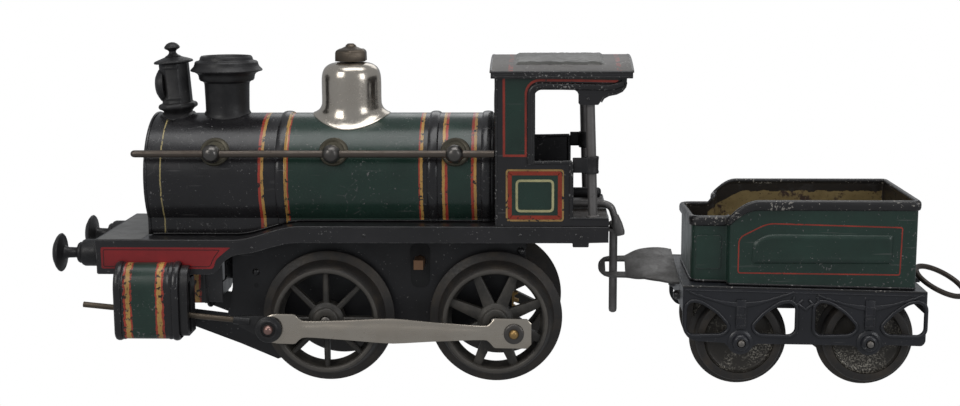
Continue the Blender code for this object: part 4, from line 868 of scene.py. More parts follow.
def make_cylinder_bracket():
    """Cross strap behind the cylinders with bent-back side flanges."""
    outline = rounded([(-23.6, 50.0), (-23.6, 31.5), (-19.2, 29.4), (19.2, 29.4), (23.6, 31.5),
                       (23.6, 50.0), (17.0, 58.4), (-17.0, 58.4)], 1.5)
    window = rounded_box((-11.0, 11.0), (35.0, 54.0), 1.5)
    strap = bevelled(plate("cylinder_strap", outline, SHEET, "YZ", -117.0, holes=(window,)), 0.2)
    dress(strap, "engine", "black_enamel", black_enamel, "cylinder_bracket")
    for name, side in SIDES.items():
        flange = block(f"bracket_flange_{name}", (-117.0, -110.9), (side * 22.2, side * 23.4), (32.5, 57.6),
                       0.3)
        dress(flange, "engine", "black_enamel", bracket_grey)


# ---------------------------------------------------------------- cylinders



def cylinder_section(side, grow=0.0, steps=12):
    """Cross-section: flat inner side, rounded lower corner, quarter-ellipse top."""
    outer, valance_y = 39.0 + grow, BOARD_HALF_WIDTH + 0.5 - grow * 0.3
    bottom, shoulder, spring_z = 21.0 - grow, 44.8 + grow, 40.0
    rise = 50.2 + grow - spring_z
    points = [(24.2 - grow, bottom)]
    points += [(outer - 3.0 + 3.0 * sin(pi / 2 * k / 6), bottom + 3.0 - 3.0 * cos(pi / 2 * k / 6))
               for k in range(7)]
    points += [(valance_y + (outer - valance_y) * cos(pi / 2 * k / steps),
                spring_z + rise * sin(pi / 2 * k / steps))
               for k in range(steps + 1)]
    points += [(valance_y, shoulder), (24.2 - grow, shoulder)]
    return [(side * y, z) for y, z in points]


def cylinder_swell(x):
    """Rims and creases along the cylinder: raised bead at each end, then a hollow."""
    low, high = CYLINDER_X
    swell = 0.0
    for centre, half, rise in ((low + 1.2, 1.2, 0.55), (low + 3.2, 0.5, 0.2), (high - 1.2, 1.2, 0.55),
                               (high - 3.6, 0.5, 0.2)):
        u = (x - centre) / half
        if abs(u) < 1:
            swell = max(swell, rise * sqrt(1 - u * u))
    return swell


def make_cylinders():
    low, high = CYLINDER_X
    for name, side in SIDES.items():
        count = 84
        xs = [low + (high - low) * i / count for i in range(count + 1)]
        sections = [[(x, y, z) for y, z in cylinder_section(side, cylinder_swell(x))] for x in xs]
        barrel = loft(f"cylinder_{name}_skin", sections, around=True, smooth=40)
        sheet_metal(barrel, 0.5, -side)
        dress(barrel, "engine", "green_lithograph", cylinder_coat, f"cylinder_{name}")
        for end, x, slot_z, depth in (("front", low, (25.2, 46.0), 0.5), ("rear", high, (22.7, 43.5), -0.4)):
            reach = sorted((side * (PISTON_ROD_Y - 2.0), side * (PISTON_ROD_Y + 2.0)))
            slot = rounded_box(reach, slot_z, 1.9, 4)
            cover = plate(f"cylinder_{end}_cover_{name}", cylinder_section(side, -0.35), 0.7, "YZ", x + depth,
                          holes=(slot,), bevel=0.2)
            dress(cover, "engine", "black_enamel", cast_black)
            if end == "rear":
                cap = plate(f"cylinder_rear_cap_{name}", cylinder_section(side, -0.6), 3.8, "YZ", x + 1.6,
                            holes=(slot,), bevel=1.2)
                dress(cap, "engine", "black_enamel", cap_black)
                continue
            lip = [(x + depth - 0.45, y, z) for y, z in rounded_box(reach, slot_z, 2.2, 4, inset=-0.3)]
            dress(tube(f"cylinder_front_lip_{name}", lip, 0.32, closed=True, resolution=2),
                  "engine", "black_enamel", cast_black)


def make_buffers():
    """Turned buffers: stock, neck and domed head."""
    length = BEAM_X - GAP + 180.1
    head = [(0, length), (2.6, length - 0.25), (5.0, length - 0.95), (6.9, length - 2.0),
            (7.7, length - 2.7), (7.85, length - 3.2), (7.5, length - 3.6), (4.6, length - 4.1),
            (2.9, length - 4.9), (2.2, length - 6.2), (2.1, 10.4), (2.5, 9.6), (3.9, 9.2), (4.3, 8.6),
            (4.3, 7.9), (5.1, 7.3), (5.5, 6.4), (5.5, 1.6), (6.2, 1.2), (6.2, 0.15), (0, 0.15)]
    for name, side in SIDES.items():
        buffer = lathe(f"buffer_{name}_turned", head, (BEAM_X - GAP, side * 21.5, 52.6), "-X", 56)
        dress(buffer, "engine", "cast_black", cast_black, f"buffer_{name}")


# ---------------------------------------------------------------- boiler

def boiler_section(x, radius, steps=64):
    """Points across the boiler: up one side, over the arc and down the other."""
    reach = asin((CREASE_Z - BOILER_Z) / radius)
    side_y = radius * cos(reach)
    foot = board_height(x) + GAP
    curve = [(radius * cos(reach + (pi - 2 * reach) * k / steps),
              BOILER_Z + radius * sin(reach + (pi - 2 * reach) * k / steps))
             for k in range(steps + 1)]
    legs = [(side_y, foot + (CREASE_Z - foot) * k / 3) for k in range(3)]
    outline = legs + curve + [(-y, z) for y, z in reversed(legs)]
    return [(x, y, z) for y, z in outline]


def boiler_raise(x):
    for centre in BAND_XS:
        u = (x - centre) / BAND_HALF
        if abs(u) < 1:
            return 0.8 * sqrt(1 - u * u)
    u = (x - BEAD_X) / BEAD_HALF
    return 0.5 * sqrt(1 - u * u) if abs(u) < 1 else 0.0


def make_boiler():
    xs = {*BOILER_SPAN, -134.2, -120.0, -55.0, -40.0}
    for centre, half in [*((c, BAND_HALF) for c in BAND_XS), (BEAD_X, BEAD_HALF)]:
        xs |= {centre - half * cos(pi * k / 12) for k in range(13)}
    xs |= {STEP_X[0] + 1.5 * k for k in range(19)}
    sections = [boiler_section(x, BOILER_R + boiler_raise(x)) for x in sorted(xs) if x <= BOILER_SPAN[1]]
    shell = loft("boiler_wrapper", sections, smooth=30)
    sheet_metal(shell, 0.6)
    dress(shell, "engine", "green_lithograph", boiler_coat, "boiler_shell")
    for name, side in SIDES.items():
        seam = [(x, side * 20.35, board_height(x) + 0.62) for x in
                [-139.0 + 3.0 * k for k in range(46)]]
        dress(tube(f"boiler_foot_seam_{name}", seam, 0.38, resolution=2), "engine", "black_enamel",
              board_black)


def make_smokebox_front():
    """Front plate with a strapped door, hinge, locking handle and ring."""
    x = -139.9
    outline = [(y, z) for _, y, z in boiler_section(-141, BOILER_R - 0.8)]
    parts = [plate("smokebox_plate", outline, 0.8, "YZ", x)]
    door = [(0, 3.4), (6, 3.2), (11, 2.6), (15, 1.7), (17.4, 0.9), (18.2, 0.3), (18.4, 0.0), (19.6, 0.0),
            (19.9, -0.35), (19.9, -0.7), (0, -0.7)]
    parts.append(lathe("smokebox_door", door, (x - 0.3, 0, BOILER_Z), "-X", 72))
    handle = [(0, 2.6), (0.9, 2.5), (1.4, 1.8), (1.3, 1.0), (0.8, 0.5), (0.8, -1.5), (0, -1.5)]
    parts.append(lathe("door_boss", handle, (x - 3.6, 0, BOILER_Z), "-X", 24))
    for z in (-7.0, 7.0):
        parts.append(block("door_strap", (x - 2.9, x - 0.3), (3.0, 19.5),
                           (BOILER_Z + z - 0.9, BOILER_Z + z + 0.9), 0.25))
    for k in range(2):
        turn = radians(-35 + 80 * k)
        tip = (x - 5.6 - k * 0.7, 6.6 * sin(turn), BOILER_Z + 6.6 * cos(turn))
        parts.append(tube("door_handle", [(x - 5.2 - k * 0.7, 0, BOILER_Z), tip], 0.55, resolution=3))
    dress(merged("smokebox_door_and_plate", *parts), "engine", "black_enamel", cast_black, "smokebox_front")


def seat(obj, base_z, fade_z, radius=BOILER_R):
    """Bends the foot of an upright turned piece down onto the boiler's curve."""
    for vert in obj.data.vertices:
        y, z = vert.co.y / MM, vert.co.z / MM
        weight = min(max((fade_z - z) / (fade_z - base_z), 0), 1)
        fall = boiler_top(y, radius) - boiler_top(0, radius)
        vert.co.z += fall * weight * weight * (3 - 2 * weight) * MM
    return obj


def make_chimney():
    """Turned chimney with a stepped, flared crown."""
    profile = [(8.0, 103.0), (7.7, 116.0), (8.0, 124.0), (8.5, 128.6), (9.0, 129.9), (9.7, 130.75),
               (10.2, 130.9), (10.7, 130.3), (10.9, 129.4), (11.4, 128.95), (12.4, 128.8), (12.9, 128.3),
               (13.0, 127.6), (13.4, 126.6), (14.4, 125.6), (14.7, 125.2), (14.6, 124.8), (13.2, 124.4),
               (12.1, 123.8), (11.6, 123.2), (11.4, 122.3), (11.3, 121.5), (10.9, 120.9), (9.9, 120.5),
               (9.35, 120.0), (9.2, 119.0), (9.0, 112.0), (8.95, 108.6), (9.3, 107.9), (9.6, 107.5),
               (9.4, 107.1), (8.2, 103.0)]
    chimney = lathe("chimney_turned", profile, (CHIMNEY_X, 0, 0), "Z", 80, smooth=28)
    seat(chimney, 107.3, 113.0)
    dress(chimney, "engine", "cast_black", cast_black, "chimney")


def make_dome():
    """Spun nickel dome with a flared saddle foot, and its cap nut."""
    outer = smooth_profile([(5.0, 128.3), (8.5, 127.6), (10.8, 126.0), (11.9, 123.5), (12.2, 120.0),
                            (12.2, 112.6), (12.5, 110.6), (13.3, 109.2), (14.6, 108.2), (15.7, 107.75)], 4)
    profile = [(0, 128.4), *outer, (15.9, 107.55), (15.8, 107.36), (15.2, 107.3), (13.0, 108.6),
               (11.6, 111.4), (11.3, 122.6), (7.8, 126.6), (0, 127.3)]
    dome = lathe("dome_spun", profile, (DOME_X, 0, 0), "Z", 96, smooth=40)
    seat(dome, 107.3, 114.5)
    dress(dome, "engine", "nickel_plate", nickel, "dome")
    shape = bmesh.new()
    lathe_into(shape,
               [(0, 133.6), (5.6, 133.6), (6.6, 133.0), (7.0, 132.2), (7.1, 128.9), (6.9, 128.7), (0, 128.7)],
               (DOME_X, 0, 0), "Z", 6, phase=radians(30))
    body = new_object("nut_body", shape_mesh("nut_body", shape, 20))
    crown = lathe("nut_crown", [(0, 135.9), (1.2, 135.8), (2.0, 135.2), (2.3, 134.6), (3.6, 134.0),
                                (4.6, 133.6), (0, 133.5)], (DOME_X, 0, 0), "Z", 48)
    nut = merged("dome_cap_nut", bevelled(body, 0.14), crown)
    dress(nut, "engine", "bronze", nut_bronze, "dome_nut")


def make_headlamp():
    """Panelled lantern: flared roof, mushroom finial, bull's-eye, moulded base and saddle."""
    sides, phase = 8, radians(22.5)
    shape = bmesh.new()
    body = [(0, 129.6), (4.4, 129.6), (5.4, 128.9), (6.3, 127.9), (6.35, 112.2), (6.7, 111.5), (0, 111.5)]
    lathe_into(shape, body, (LAMP_X, 0, 0), "Z", sides, phase)
    panels = bevelled(new_object("lamp_panels", shape_mesh("lamp_panels", shape, 20)), 0.45, 2, 25)
    shape = bmesh.new()
    roof = [(0, 131.6), (2.2, 131.2), (4.0, 130.4), (6.2, 129.7), (7.8, 129.1), (8.2, 128.7), (8.1, 128.2),
            (7.0, 127.9), (0, 127.9)]
    lathe_into(shape, roof, (LAMP_X, 0, 0), "Z", sides, phase)
    cap = bevelled(new_object("lamp_roof", shape_mesh("lamp_roof", shape, 30)), 0.3, 2, 20)
    finial = lathe("lamp_finial", [(0, 136.6), (1.1, 136.45), (2.2, 135.9), (3.0, 135.0), (3.25, 134.4),
                                   (2.9, 133.9), (1.9, 133.4), (1.45, 132.8), (1.5, 132.2), (2.2, 131.4),
                                   (3.2, 130.9), (0, 130.7)],
                   (LAMP_X, 0, 0), "Z", 40)
    shape = bmesh.new()
    base = [(0, 111.9), (6.6, 111.9), (7.9, 111.3), (8.3, 110.4), (8.0, 109.7), (6.8, 109.1), (5.9, 108.2),
            (5.6, 107.0), (5.7, 105.4), (0, 105.0)]
    lathe_into(shape, base, (LAMP_X, 0, 0), "Z", sides, phase)
    foot = bevelled(new_object("lamp_base", shape_mesh("lamp_base", shape, 30)), 0.35, 2, 20)
    seat(foot, 107.0, 111.0)
    lens = lathe("lamp_eye", [(0, 8.3), (2.2, 8.2), (4.2, 7.7), (5.6, 6.9), (6.1, 6.4), (6.5, 6.3),
                              (6.8, 5.9), (6.8, 4.0), (0, 4.0)], (LAMP_X, 0, 119.3), "-X", 48)
    straps = [block("lamp_door_strap", (LAMP_X - 3.2, LAMP_X + 3.2), (s * 5.8, s * 6.15),
                    (z - 0.5, z + 0.5), 0.15)
              for s in (-1, 1) for z in (113.6, 126.3)]
    lamp = merged("headlamp_lantern", panels, cap, finial, foot, lens, *straps)
    pivot = Vector(((LAMP_X + X0) * MM, 0, 108 * MM))
    lean = Matrix.Rotation(LAMP_LEAN, 4, "Y")
    lamp.data.transform(Matrix.Translation(pivot) @ lean @ Matrix.Translation(-pivot))
    make_lamp_saddle()
    dress(lamp, "engine", "cast_black", cast_black, "headlamp")


def make_lamp_saddle():
    """Thin tongue of metal that lies over the boiler under the lantern's foot."""
    sections = []
    for step in range(25):
        t = step / 12 - 1
        angle, half = pi / 2 - t * radians(26), 6.4 * max(1 - abs(t) ** 3.2, 0.02)
        ring = [(LAMP_X + half * u, (BOILER_R + lift) * cos(angle), BOILER_Z + (BOILER_R + lift) * sin(angle))
                for u, lift in ((-1, 0.05), (-0.9, 0.75), (0, 1.0), (0.9, 0.75), (1, 0.05))]
        sections.append(ring)
    saddle = loft("lamp_saddle", sections, around=True, smooth=40)
    dress(saddle, "engine", "cast_black", cast_black)


def make_handrails():
    """Steel rail through three ball knobs that stand on ringed washers."""
    seat_y = sqrt(BOILER_R ** 2 - (RAIL_Z - BOILER_Z) ** 2)
    slant = atan2(RAIL_Z - BOILER_Z, seat_y)
    for name, side in SIDES.items():
        start, end = -144.6, -GAP - 0.05
        back = -(end - start - 0.9)
        nose = [(0, 0.9), (0.7, 0.8), (1.15, 0.4), (1.4, -0.3), (1.45, -1.1), (1.45, back), (0, back)]
        rail = lathe(f"handrail_bar_{name}", nose, (start + 0.9, side * RAIL_Y, RAIL_Z), "-X", 24)
        dress(rail, "engine", "bare_steel", rail_steel, f"handrail_{name}")
        balls, washers = [], []
        for x in KNOB_XS:
            ball = smooth_profile([(0.0, 3.7), (2.0, 3.2), (3.3, 1.7), (3.7, 0.0), (3.3, -1.7),
                                   (2.3, -2.8)], 4)
            profile = [*ball, (1.7, -3.1), (1.5, -3.8), (1.6, -6.4), (0, -6.4)]
            balls.append(lathe("knob", profile, (x, side * RAIL_Y, RAIL_Z), outward(side), 40))
            ring = [(0, 1.3), (2.4, 1.2), (2.7, 0.8), (3.9, 0.85), (4.3, 0.5), (4.7, 0.7), (5.5, 0.7),
                    (5.9, 0.3), (6.0, -0.8), (0, -0.8)]
            washer = lathe("washer", ring, (0, 0, 0), outward(side), 40)
            turn = Matrix.Rotation(side * slant, 4, "X")
            place = Vector(((x + X0) * MM, side * (seat_y + 0.10) * MM, (RAIL_Z + 0.06) * MM))
            washer.data.transform(Matrix.Translation(place) @ turn @ Matrix.Translation((-X0 * MM, 0, 0)))
            washers.append(washer)
        dress(merged(f"handrail_knobs_{name}", *balls), "engine", "bare_steel", knob_steel)
        dress(merged(f"handrail_washers_{name}", *washers), "engine", "bare_steel", washer_metal)


# ---------------------------------------------------------------- cab

ROOF_X = (-1.9, 54.0)
ROOF_CROWN_Z = 131.0
ROOF_HALF_WIDTH = 32.0
ROOF_RISE = 4.4
EAVE_Z = 123.8
SIDE_TOP_Z = 125.4
CAB_SHEET = 0.6
SILL_Z = {"left": 91.4, "right": 95.0}
POST_X = {"left": 37.8, "right": 36.8}
POST_LEAN, POST_PIVOT_Z = radians(-1.8), 96
SPECTACLE_Y, SPECTACLE_Z = 16.5, 113.2


def roof_height(y, offset=0.0):
    radius = (ROOF_HALF_WIDTH ** 2 + ROOF_RISE ** 2) / (2 * ROOF_RISE)
    return ROOF_CROWN_Z + offset - radius + sqrt(radius ** 2 - y ** 2)


def roof_line(half_width, offset, count=32):
    ys = [half_width * (1 - 2 * i / count) for i in range(count + 1)]
    return [(y, roof_height(y, offset)) for y in ys]


def inner_faces(obj, inward, index=1):
    """Gives the faces that look along a direction the second material."""
    for face in obj.data.polygons:
        if face.normal.dot(inward) > 0.6:
            face.material_index = index
    return obj


def make_cab():
    low = BOARD_Z + 0.04
    half = CAB_HALF_WIDTH
    for name, side in SIDES.items():
        sill = SILL_Z[name]
        side_sheet = [(0.15, low), (CAB_REAR_X, low), (CAB_REAR_X, CAB_FLOOR_Z), (CAB_DOOR_X, CAB_FLOOR_Z),
                      *arc((CAB_DOOR_X - 0.8, sill - 0.8), 0.8, 0, 90, 4), (15.5, sill),
                      *reversed(arc((18.3, 116.5), 2.8, 90, 180, 8)),
                      *reversed(arc((30.4, 117.1), 2.2, 0, 90, 7)), (32.6, 114.2), (33.2, 113.4),
                      (40.3, 113.4), (40.9, 114.2), (42.0, 116.2), (44.1, 117.4), (47.3, 118.0),
                      (49.4, 118.9), (50.8, 120.3), (51.3, 122.2), (51.5, SIDE_TOP_Z), (0.15, SIDE_TOP_Z)]
        sheet = plate(f"cab_side_{name}", side_sheet, CAB_SHEET, "XZ", side * (half - CAB_SHEET / 2),
                      bevel=0.12)
        inner_faces(sheet, Vector((0, -side, 0)))
        dress(sheet, "engine", "black_enamel", (black_enamel, inner_grey), "cab")
        make_cab_lining(name, side)
        make_cab_beads(name, side)
    windows = [circle((side * SPECTACLE_Y, SPECTACLE_Z), 5.0, 48) for side in SIDES.values()]
    front = plate("cab_front", [(-half + 0.7, low), (half - 0.7, low), *roof_line(half - 0.7, -1.6)],
                  CAB_SHEET,
                  "YZ", CAB_SHEET / 2, holes=windows)
    inner_faces(front, Vector((1, 0, 0)))
    dress(front, "engine", "black_enamel", (black_enamel, inner_grey))
    rings = [tube("spectacle_ring", [(-0.05, side * SPECTACLE_Y + y, SPECTACLE_Z + z)
                                     for y, z in circle((0, 0), 5.1, 48)], 0.45,
                  closed=True, resolution=3) for side in SIDES.values()]
    dress(merged("spectacle_rings", *rings), "engine", "black_enamel", bead_black)
    floor = block("cab_floor_sheet", (0.7, CAB_REAR_X - 0.2), (-half + 0.7, half - 0.7),
                  (CAB_FLOOR_Z - SHEET, CAB_FLOOR_Z - 0.02), 0.1)
    dress(floor, "engine", "black_enamel", rusty_black)
    skirt = block("cab_rear_skirt", (CAB_REAR_X - SHEET, CAB_REAR_X - 0.05), (-half + 0.6, half - 0.6),
                  (low, CAB_FLOOR_Z + 0.02), 0.15)
    dress(skirt, "engine", "black_enamel", black_enamel)
    front_door = block("firehole_door", (0.65, 1.5), (-8.0, 8.0), (74.0, 86.0), 0.4)
    ring = tube("firehole_ring", [(1.5, y, 80 + z) for y, z in
                                  rounded_box((-6.6, 6.6), (-4.8, 4.8), 1.6)], 0.45,
                closed=True, resolution=3)
    dress(merged("cab_firehole", front_door, ring), "engine", "black_enamel", inner_grey)


def make_cab_lining(name, side):
    half = CAB_HALF_WIDTH
    level = side * (half + 0.02)
    green = rounded([(3.4, 93.1), (12.3, 93.1), (12.3, 118.2), (13.5, 121.6), (17.0, 123.3), (48.4, 123.3),
                     (48.4, 125.2), (3.4, 125.2)], [0.6, 0.6, 2, 3, 2, 0.2, 0.2, 0.2])
    dress(plate(f"cab_panel_{name}", green, 0.06, "XZ", level), "engine", "green_lithograph", green_enamel)
    corner = [(17.6 - 5.4 * cos(pi / 2 * k / 8), 117.7 + 5.4 * sin(pi / 2 * k / 8)) for k in range(9)]
    red = [(3.6, 125.0), (3.6, 93.5), (12.2, 93.5), *corner, (30.0, 123.0), (48.0, 122.6)]
    frame_line(f"cab_red_line_{name}", red, 0.95, side, half + 0.04, "engine", "green_lithograph", line_red,
               False)

    x, z = (4.2, 27.2), (67.3, 88.2)
    dress(plate(f"cab_lower_panel_{name}", rounded_box(x, z, 0.4, inset=2.0), 0.06, "XZ", level),
          "engine", "green_lithograph", green_enamel)
    frame_line(f"cab_gold_frame_{name}", rounded_box(x, z, 1.0, inset=0.45), 0.75, side, half + 0.03,
               "engine", "green_lithograph", line_gold)
    frame_line(f"cab_red_frame_{name}", rounded_box(x, z, 0.5, inset=1.65), 1.6, side, half + 0.04,
               "engine", "green_lithograph", line_orange)
    frame_line(f"cab_cream_frame_{name}", rounded_box((8.1, 23.3), (71.0, 84.1), 1.6, inset=0.5), 0.95,
               side, half + 0.05,
               "engine", "green_lithograph", line_cream)


def make_cab_beads(name, side):
    """Half-round moulding round the window, door edge, sill and corner post."""
    y = side * (CAB_HALF_WIDTH - 0.25)
    top = SILL_Z[name]
    window = open_rounded([(13.9, y, top - 1.2), (13.9, y, 121.0), (45.6, y, 120.3), (50.0, y, 121.9)], 4.2,
                          8)
    sill = [(13.4, y, top - 0.8), (30.2, y, top - 0.5)]
    door = [(CAB_DOOR_X - 0.35, y, top - 0.4), (CAB_DOOR_X - 0.35, y, CAB_FLOOR_Z + 0.3)]
    foot = [(CAB_DOOR_X, y, CAB_FLOOR_Z + 0.05), (CAB_REAR_X - 0.3, y, CAB_FLOOR_Z + 0.05)]
    corner = [(0.55, y, BOARD_Z + 0.6), (0.55, y, 124.6)]
    arch = [(41.3, y, 114.6), (42.3, y, 116.2), (44.3, y, 117.3), (47.3, y, 117.9), (49.4, y, 118.9),
            (50.6, y, 120.4), (51.0, y, 122.2)]
    parts = [tube("bead", window, 1.45, resolution=5), tube("bead", sill, 0.75), tube("bead", door, 0.9),
             tube("bead", foot, 0.5), tube("bead", corner, 0.6), tube("bead", arch, 0.55),
             rivet((36.4, side * CAB_HALF_WIDTH, 115.6), side, 0.7)]
    dress(merged(f"cab_beading_{name}", *parts), "engine", "black_enamel", bead_black)


def make_roof():
    """Arched roof with rolled eaves and a lumpy soldered ventilator plate."""
    half = ROOF_HALF_WIDTH
    low, high = ROOF_X
    upper, lower = roof_line(half - 0.5, 0), roof_line(half - 0.5, -SHEET)
    outline = [*upper, *reversed(lower)]
    sheet = bevelled(plate("cab_roof_sheet", outline, high - low, "YZ", (low + high) / 2), 0.2)
    dress(sheet, "engine", "roof_paint", roof_coat, "cab_roof")
    parts = []
    for side in SIDES.values():
        edge_z = roof_height(half) - 0.55
        y = side * (half - 0.75)
        parts.append(tube("eave_roll", [(low + 0.5, y, edge_z), (high - 0.5, y, edge_z)], 0.72, resolution=4))
        parts.append(block("eave_lip", (low + 0.4, high - 0.4), (side * (half - 0.15), side * (half - 0.85)),
                           (EAVE_Z, edge_z), 0.25))
        parts.append(tube("eave_bead", [(low + 0.5, side * (half - 0.55), EAVE_Z + 0.5),
                                        (high - 0.5, side * (half - 0.55), EAVE_Z + 0.5)], 0.5, resolution=3))
    for x in (low + 0.5, high - 0.5):
        rim = [(x, y, z - 0.35) for y, z in roof_line(half - 0.9, 0, 40)]
        parts.append(tube("roof_end_bead", rim, 0.5, resolution=3))
    dress(merged("cab_roof_edges", *parts), "engine", "black_enamel", bead_black)
    make_ventilator()


def make_ventilator():
    """Old solder-daubed plate on the crown: a rough raised patch with soft edges."""
    x_low, x_high, reach = 8.0, 42.9, 23.2
    columns, rows = 90, 96
    shape = bmesh.new()
    grid = []
    for i in range(columns + 1):
        u = i / columns
        line = []
        for j in range(rows + 1):
            v = 2 * j / rows - 1
            x, y = x_low + (x_high - x_low) * u, v * reach
            place = Vector((x, y, 0))
            border = min(u, 1 - u) * (x_high - x_low) + 0.8 * noise.noise(place * 0.35)
            side_border = (1 - abs(v)) * reach + 1.0 * noise.noise(place * 0.3 + Vector((5, 2, 1)))
            rise = min(max(border / 1.3, 0), 1) * min(max(side_border / 1.3, 0), 1)
            lump = 0.45 * noise.noise(place * 0.22 + Vector((3, 0, 0))) + 0.25 * noise.noise(place * 0.7)
            top = roof_height(y) + 0.02 + rise * (0.6 + 0.5 * lump)
            line.append(shape.verts.new((x, y, min(top, ROOF_CROWN_Z + 0.98))))
        grid.append(line)
    for i in range(columns):
        for j in range(rows):
            shape.faces.new((grid[i][j], grid[i + 1][j], grid[i + 1][j + 1], grid[i][j + 1]))
    ring = ([grid[i][0] for i in range(columns)] + [grid[columns][j] for j in range(rows)]
            + [grid[i][rows] for i in range(columns, 0, -1)] + [grid[0][j] for j in range(rows, 0, -1)])
    skirt = [shape.verts.new(vert.co - Vector((0, 0, 0.5))) for vert in ring]
    for k, vert in enumerate(ring):
        after = (k + 1) % len(ring)
        shape.faces.new((vert, skirt[k], skirt[after], ring[after]))
    shape.faces.new(reversed(skirt))
    plate_obj = new_object("roof_solder_plate", shape_mesh("roof_solder_plate", shape, 50))
    dress(plate_obj, "engine", "roof_paint", solder_grey, "roof_ventilator")


def make_cab_posts():
    """Tube pillars, each with a wrapped collar and a strap to the side sheet."""
    for name, side in SIDES.items():
        x, y = POST_X[name], side * 27.0
        rise = SILL_Z[name] - SILL_Z["left"]
        top = SIDE_TOP_Z - 1.2
        post = lathe("post", [(0, top), (1.75, top), (1.85, 118), (1.9, 96), (1.85, 69.6), (2.5, 69.2),
                              (2.6, CAB_FLOOR_Z + 0.35), (0, CAB_FLOOR_Z + 0.35)], (x, y, 0), "Z", 32)
        pivot = Vector(((x + X0) * MM, 0, POST_PIVOT_Z * MM))
        lean = Matrix.Rotation(POST_LEAN, 4, "Y")
        post.data.transform(Matrix.Translation(pivot) @ lean @ Matrix.Translation(-pivot))
        dress(post, "engine", "cast_black", pipe_grey, f"cab_post_{name}")
        post.name = f"cab_pillar_{name}"
        collar = lathe("collar", [(2.05, 93.0), (2.75, 92.9), (2.9, 92.3), (2.75, 91.4), (2.7, 87.6),
                                  (2.9, 86.8), (2.75, 86.2), (2.05, 86.1)], (x + 0.2, y, rise), "Z", 32)
        strap = block("strap", (CAB_DOOR_X + 0.2, x - 0.6), (side * 28.3, side * 29.3),
                      (86.6 + rise, 92.6 + rise), 0.3)
        dress(merged(f"cab_post_strap_{name}", collar, strap), "engine", "cast_black", cast_black)


def make_controls():
    """Push-pull reversing rod with a flattened spade, and a turned brake knob."""
    y = -5.0
    path = open_rounded([(26.4, y, 70.5), (44.0, y, 70.5), (46.9, y, 69.2), (48.4, y, 64.6),
                         (48.7, y, 62.4)], 2.4, 8)
    lever = tube("lever", path, 1.5, resolution=5)
    shape = bmesh.new()
    rows = []
    for t in [k / 10 for k in range(11)]:
        z = 65.6 - 8.3 * t
        width = 1.35 + 0.45 * min(t / 0.4, 1) - (0.5 * max(t - 0.85, 0) / 0.15)
        depth = 1.35 - 0.45 * min(t / 0.45, 1)
        x = 48.3 + 2.6 * t
        rows.append([shape.verts.new((x + width * cos(2 * pi * k / 20) * 1.15,
                                      y + depth * 1.2 * sin(2 * pi * k / 20),
                                      z + 0.35 * cos(2 * pi * k / 20))) for k in range(20)])
    skin(shape, rows)
    shape.faces.new(rows[0])
    shape.faces.new(rows[-1])
    spade = new_object("spade", shape_mesh("spade", shape, 50))
    dress(merged("reversing_rod", lever, spade), "reversing_lever", "bare_steel", pipe_grey,
          "reversing_lever")
    profile = [(0, 15.7), (1.2, 15.6), (1.8, 15.2), (2.15, 14.6), (2.2, 13.8), (2.2, 3.4), (1.9, 2.8),
               (1.2, 2.5)]
    knob = lathe("brake_knob_turned", [*profile, (1.2, 0.1), (0, 0.1)], (27.5, 8.0, 73.0), "X", 36)
    dress(knob, "brake_knob", "black_enamel", cast_black, "brake_knob")


def make_draw_pin():
    """Drawbar pin riveted through a folded angle under the cab."""
    x = 48.1
    shank = lathe("shank", [(0, 62.6), (1.4, 62.4), (2.3, 61.7), (2.5, 60.9), (1.7, 60.8), (1.7, 25.2),
                            (1.5, 24.2), (0.9, 23.75), (0, 23.7)], (x, 0, 0), "Z", 32)
    shelf = block("shelf", (CAB_REAR_X + GAP, x + 2.4), (-3, 3), (58.4, 59.6), 0.3)
    web = block("web", (CAB_REAR_X + GAP, CAB_REAR_X + 1.1), (-3, 3), (58.4, 64.6), 0.25)
    dress(merged("draw_pin_and_angle", shank, shelf, web), "engine", "bare_steel", pipe_grey, "drawbar_pin")


# ---------------------------------------------------------------- driving wheels and rods

def spoke(angle, inner, outer, width_in, width_out, deep, face_in, face_out, at, side):
    """One tapered spoke, rounded over on its outer face, from hub to rim."""
    shape = bmesh.new()
    rows = []
    for k in range(7):
        t = k / 6
        reach = inner + (outer - inner) * t
        half = (width_in + (width_out - width_in) * t) / 2
        top = face_in + (face_out - face_in) * t
        loop = [(-half, top - deep), (-half, top - 0.45), (-half * 0.55, top), (half * 0.55, top),
                (half, top - 0.45), (half, top - deep)]
        row = []
        for across, out in loop:
            row.append(shape.verts.new((at[0] + reach * cos(angle) - across * sin(angle), at[1] + side * out,
                                        at[2] + reach * sin(angle) + across * cos(angle))))
        rows.append(row)
    skin(shape, rows)
    shape.faces.new(rows[0])
    shape.faces.new(rows[-1])
    return new_object("spoke", shape_mesh("spoke", shape, 50))


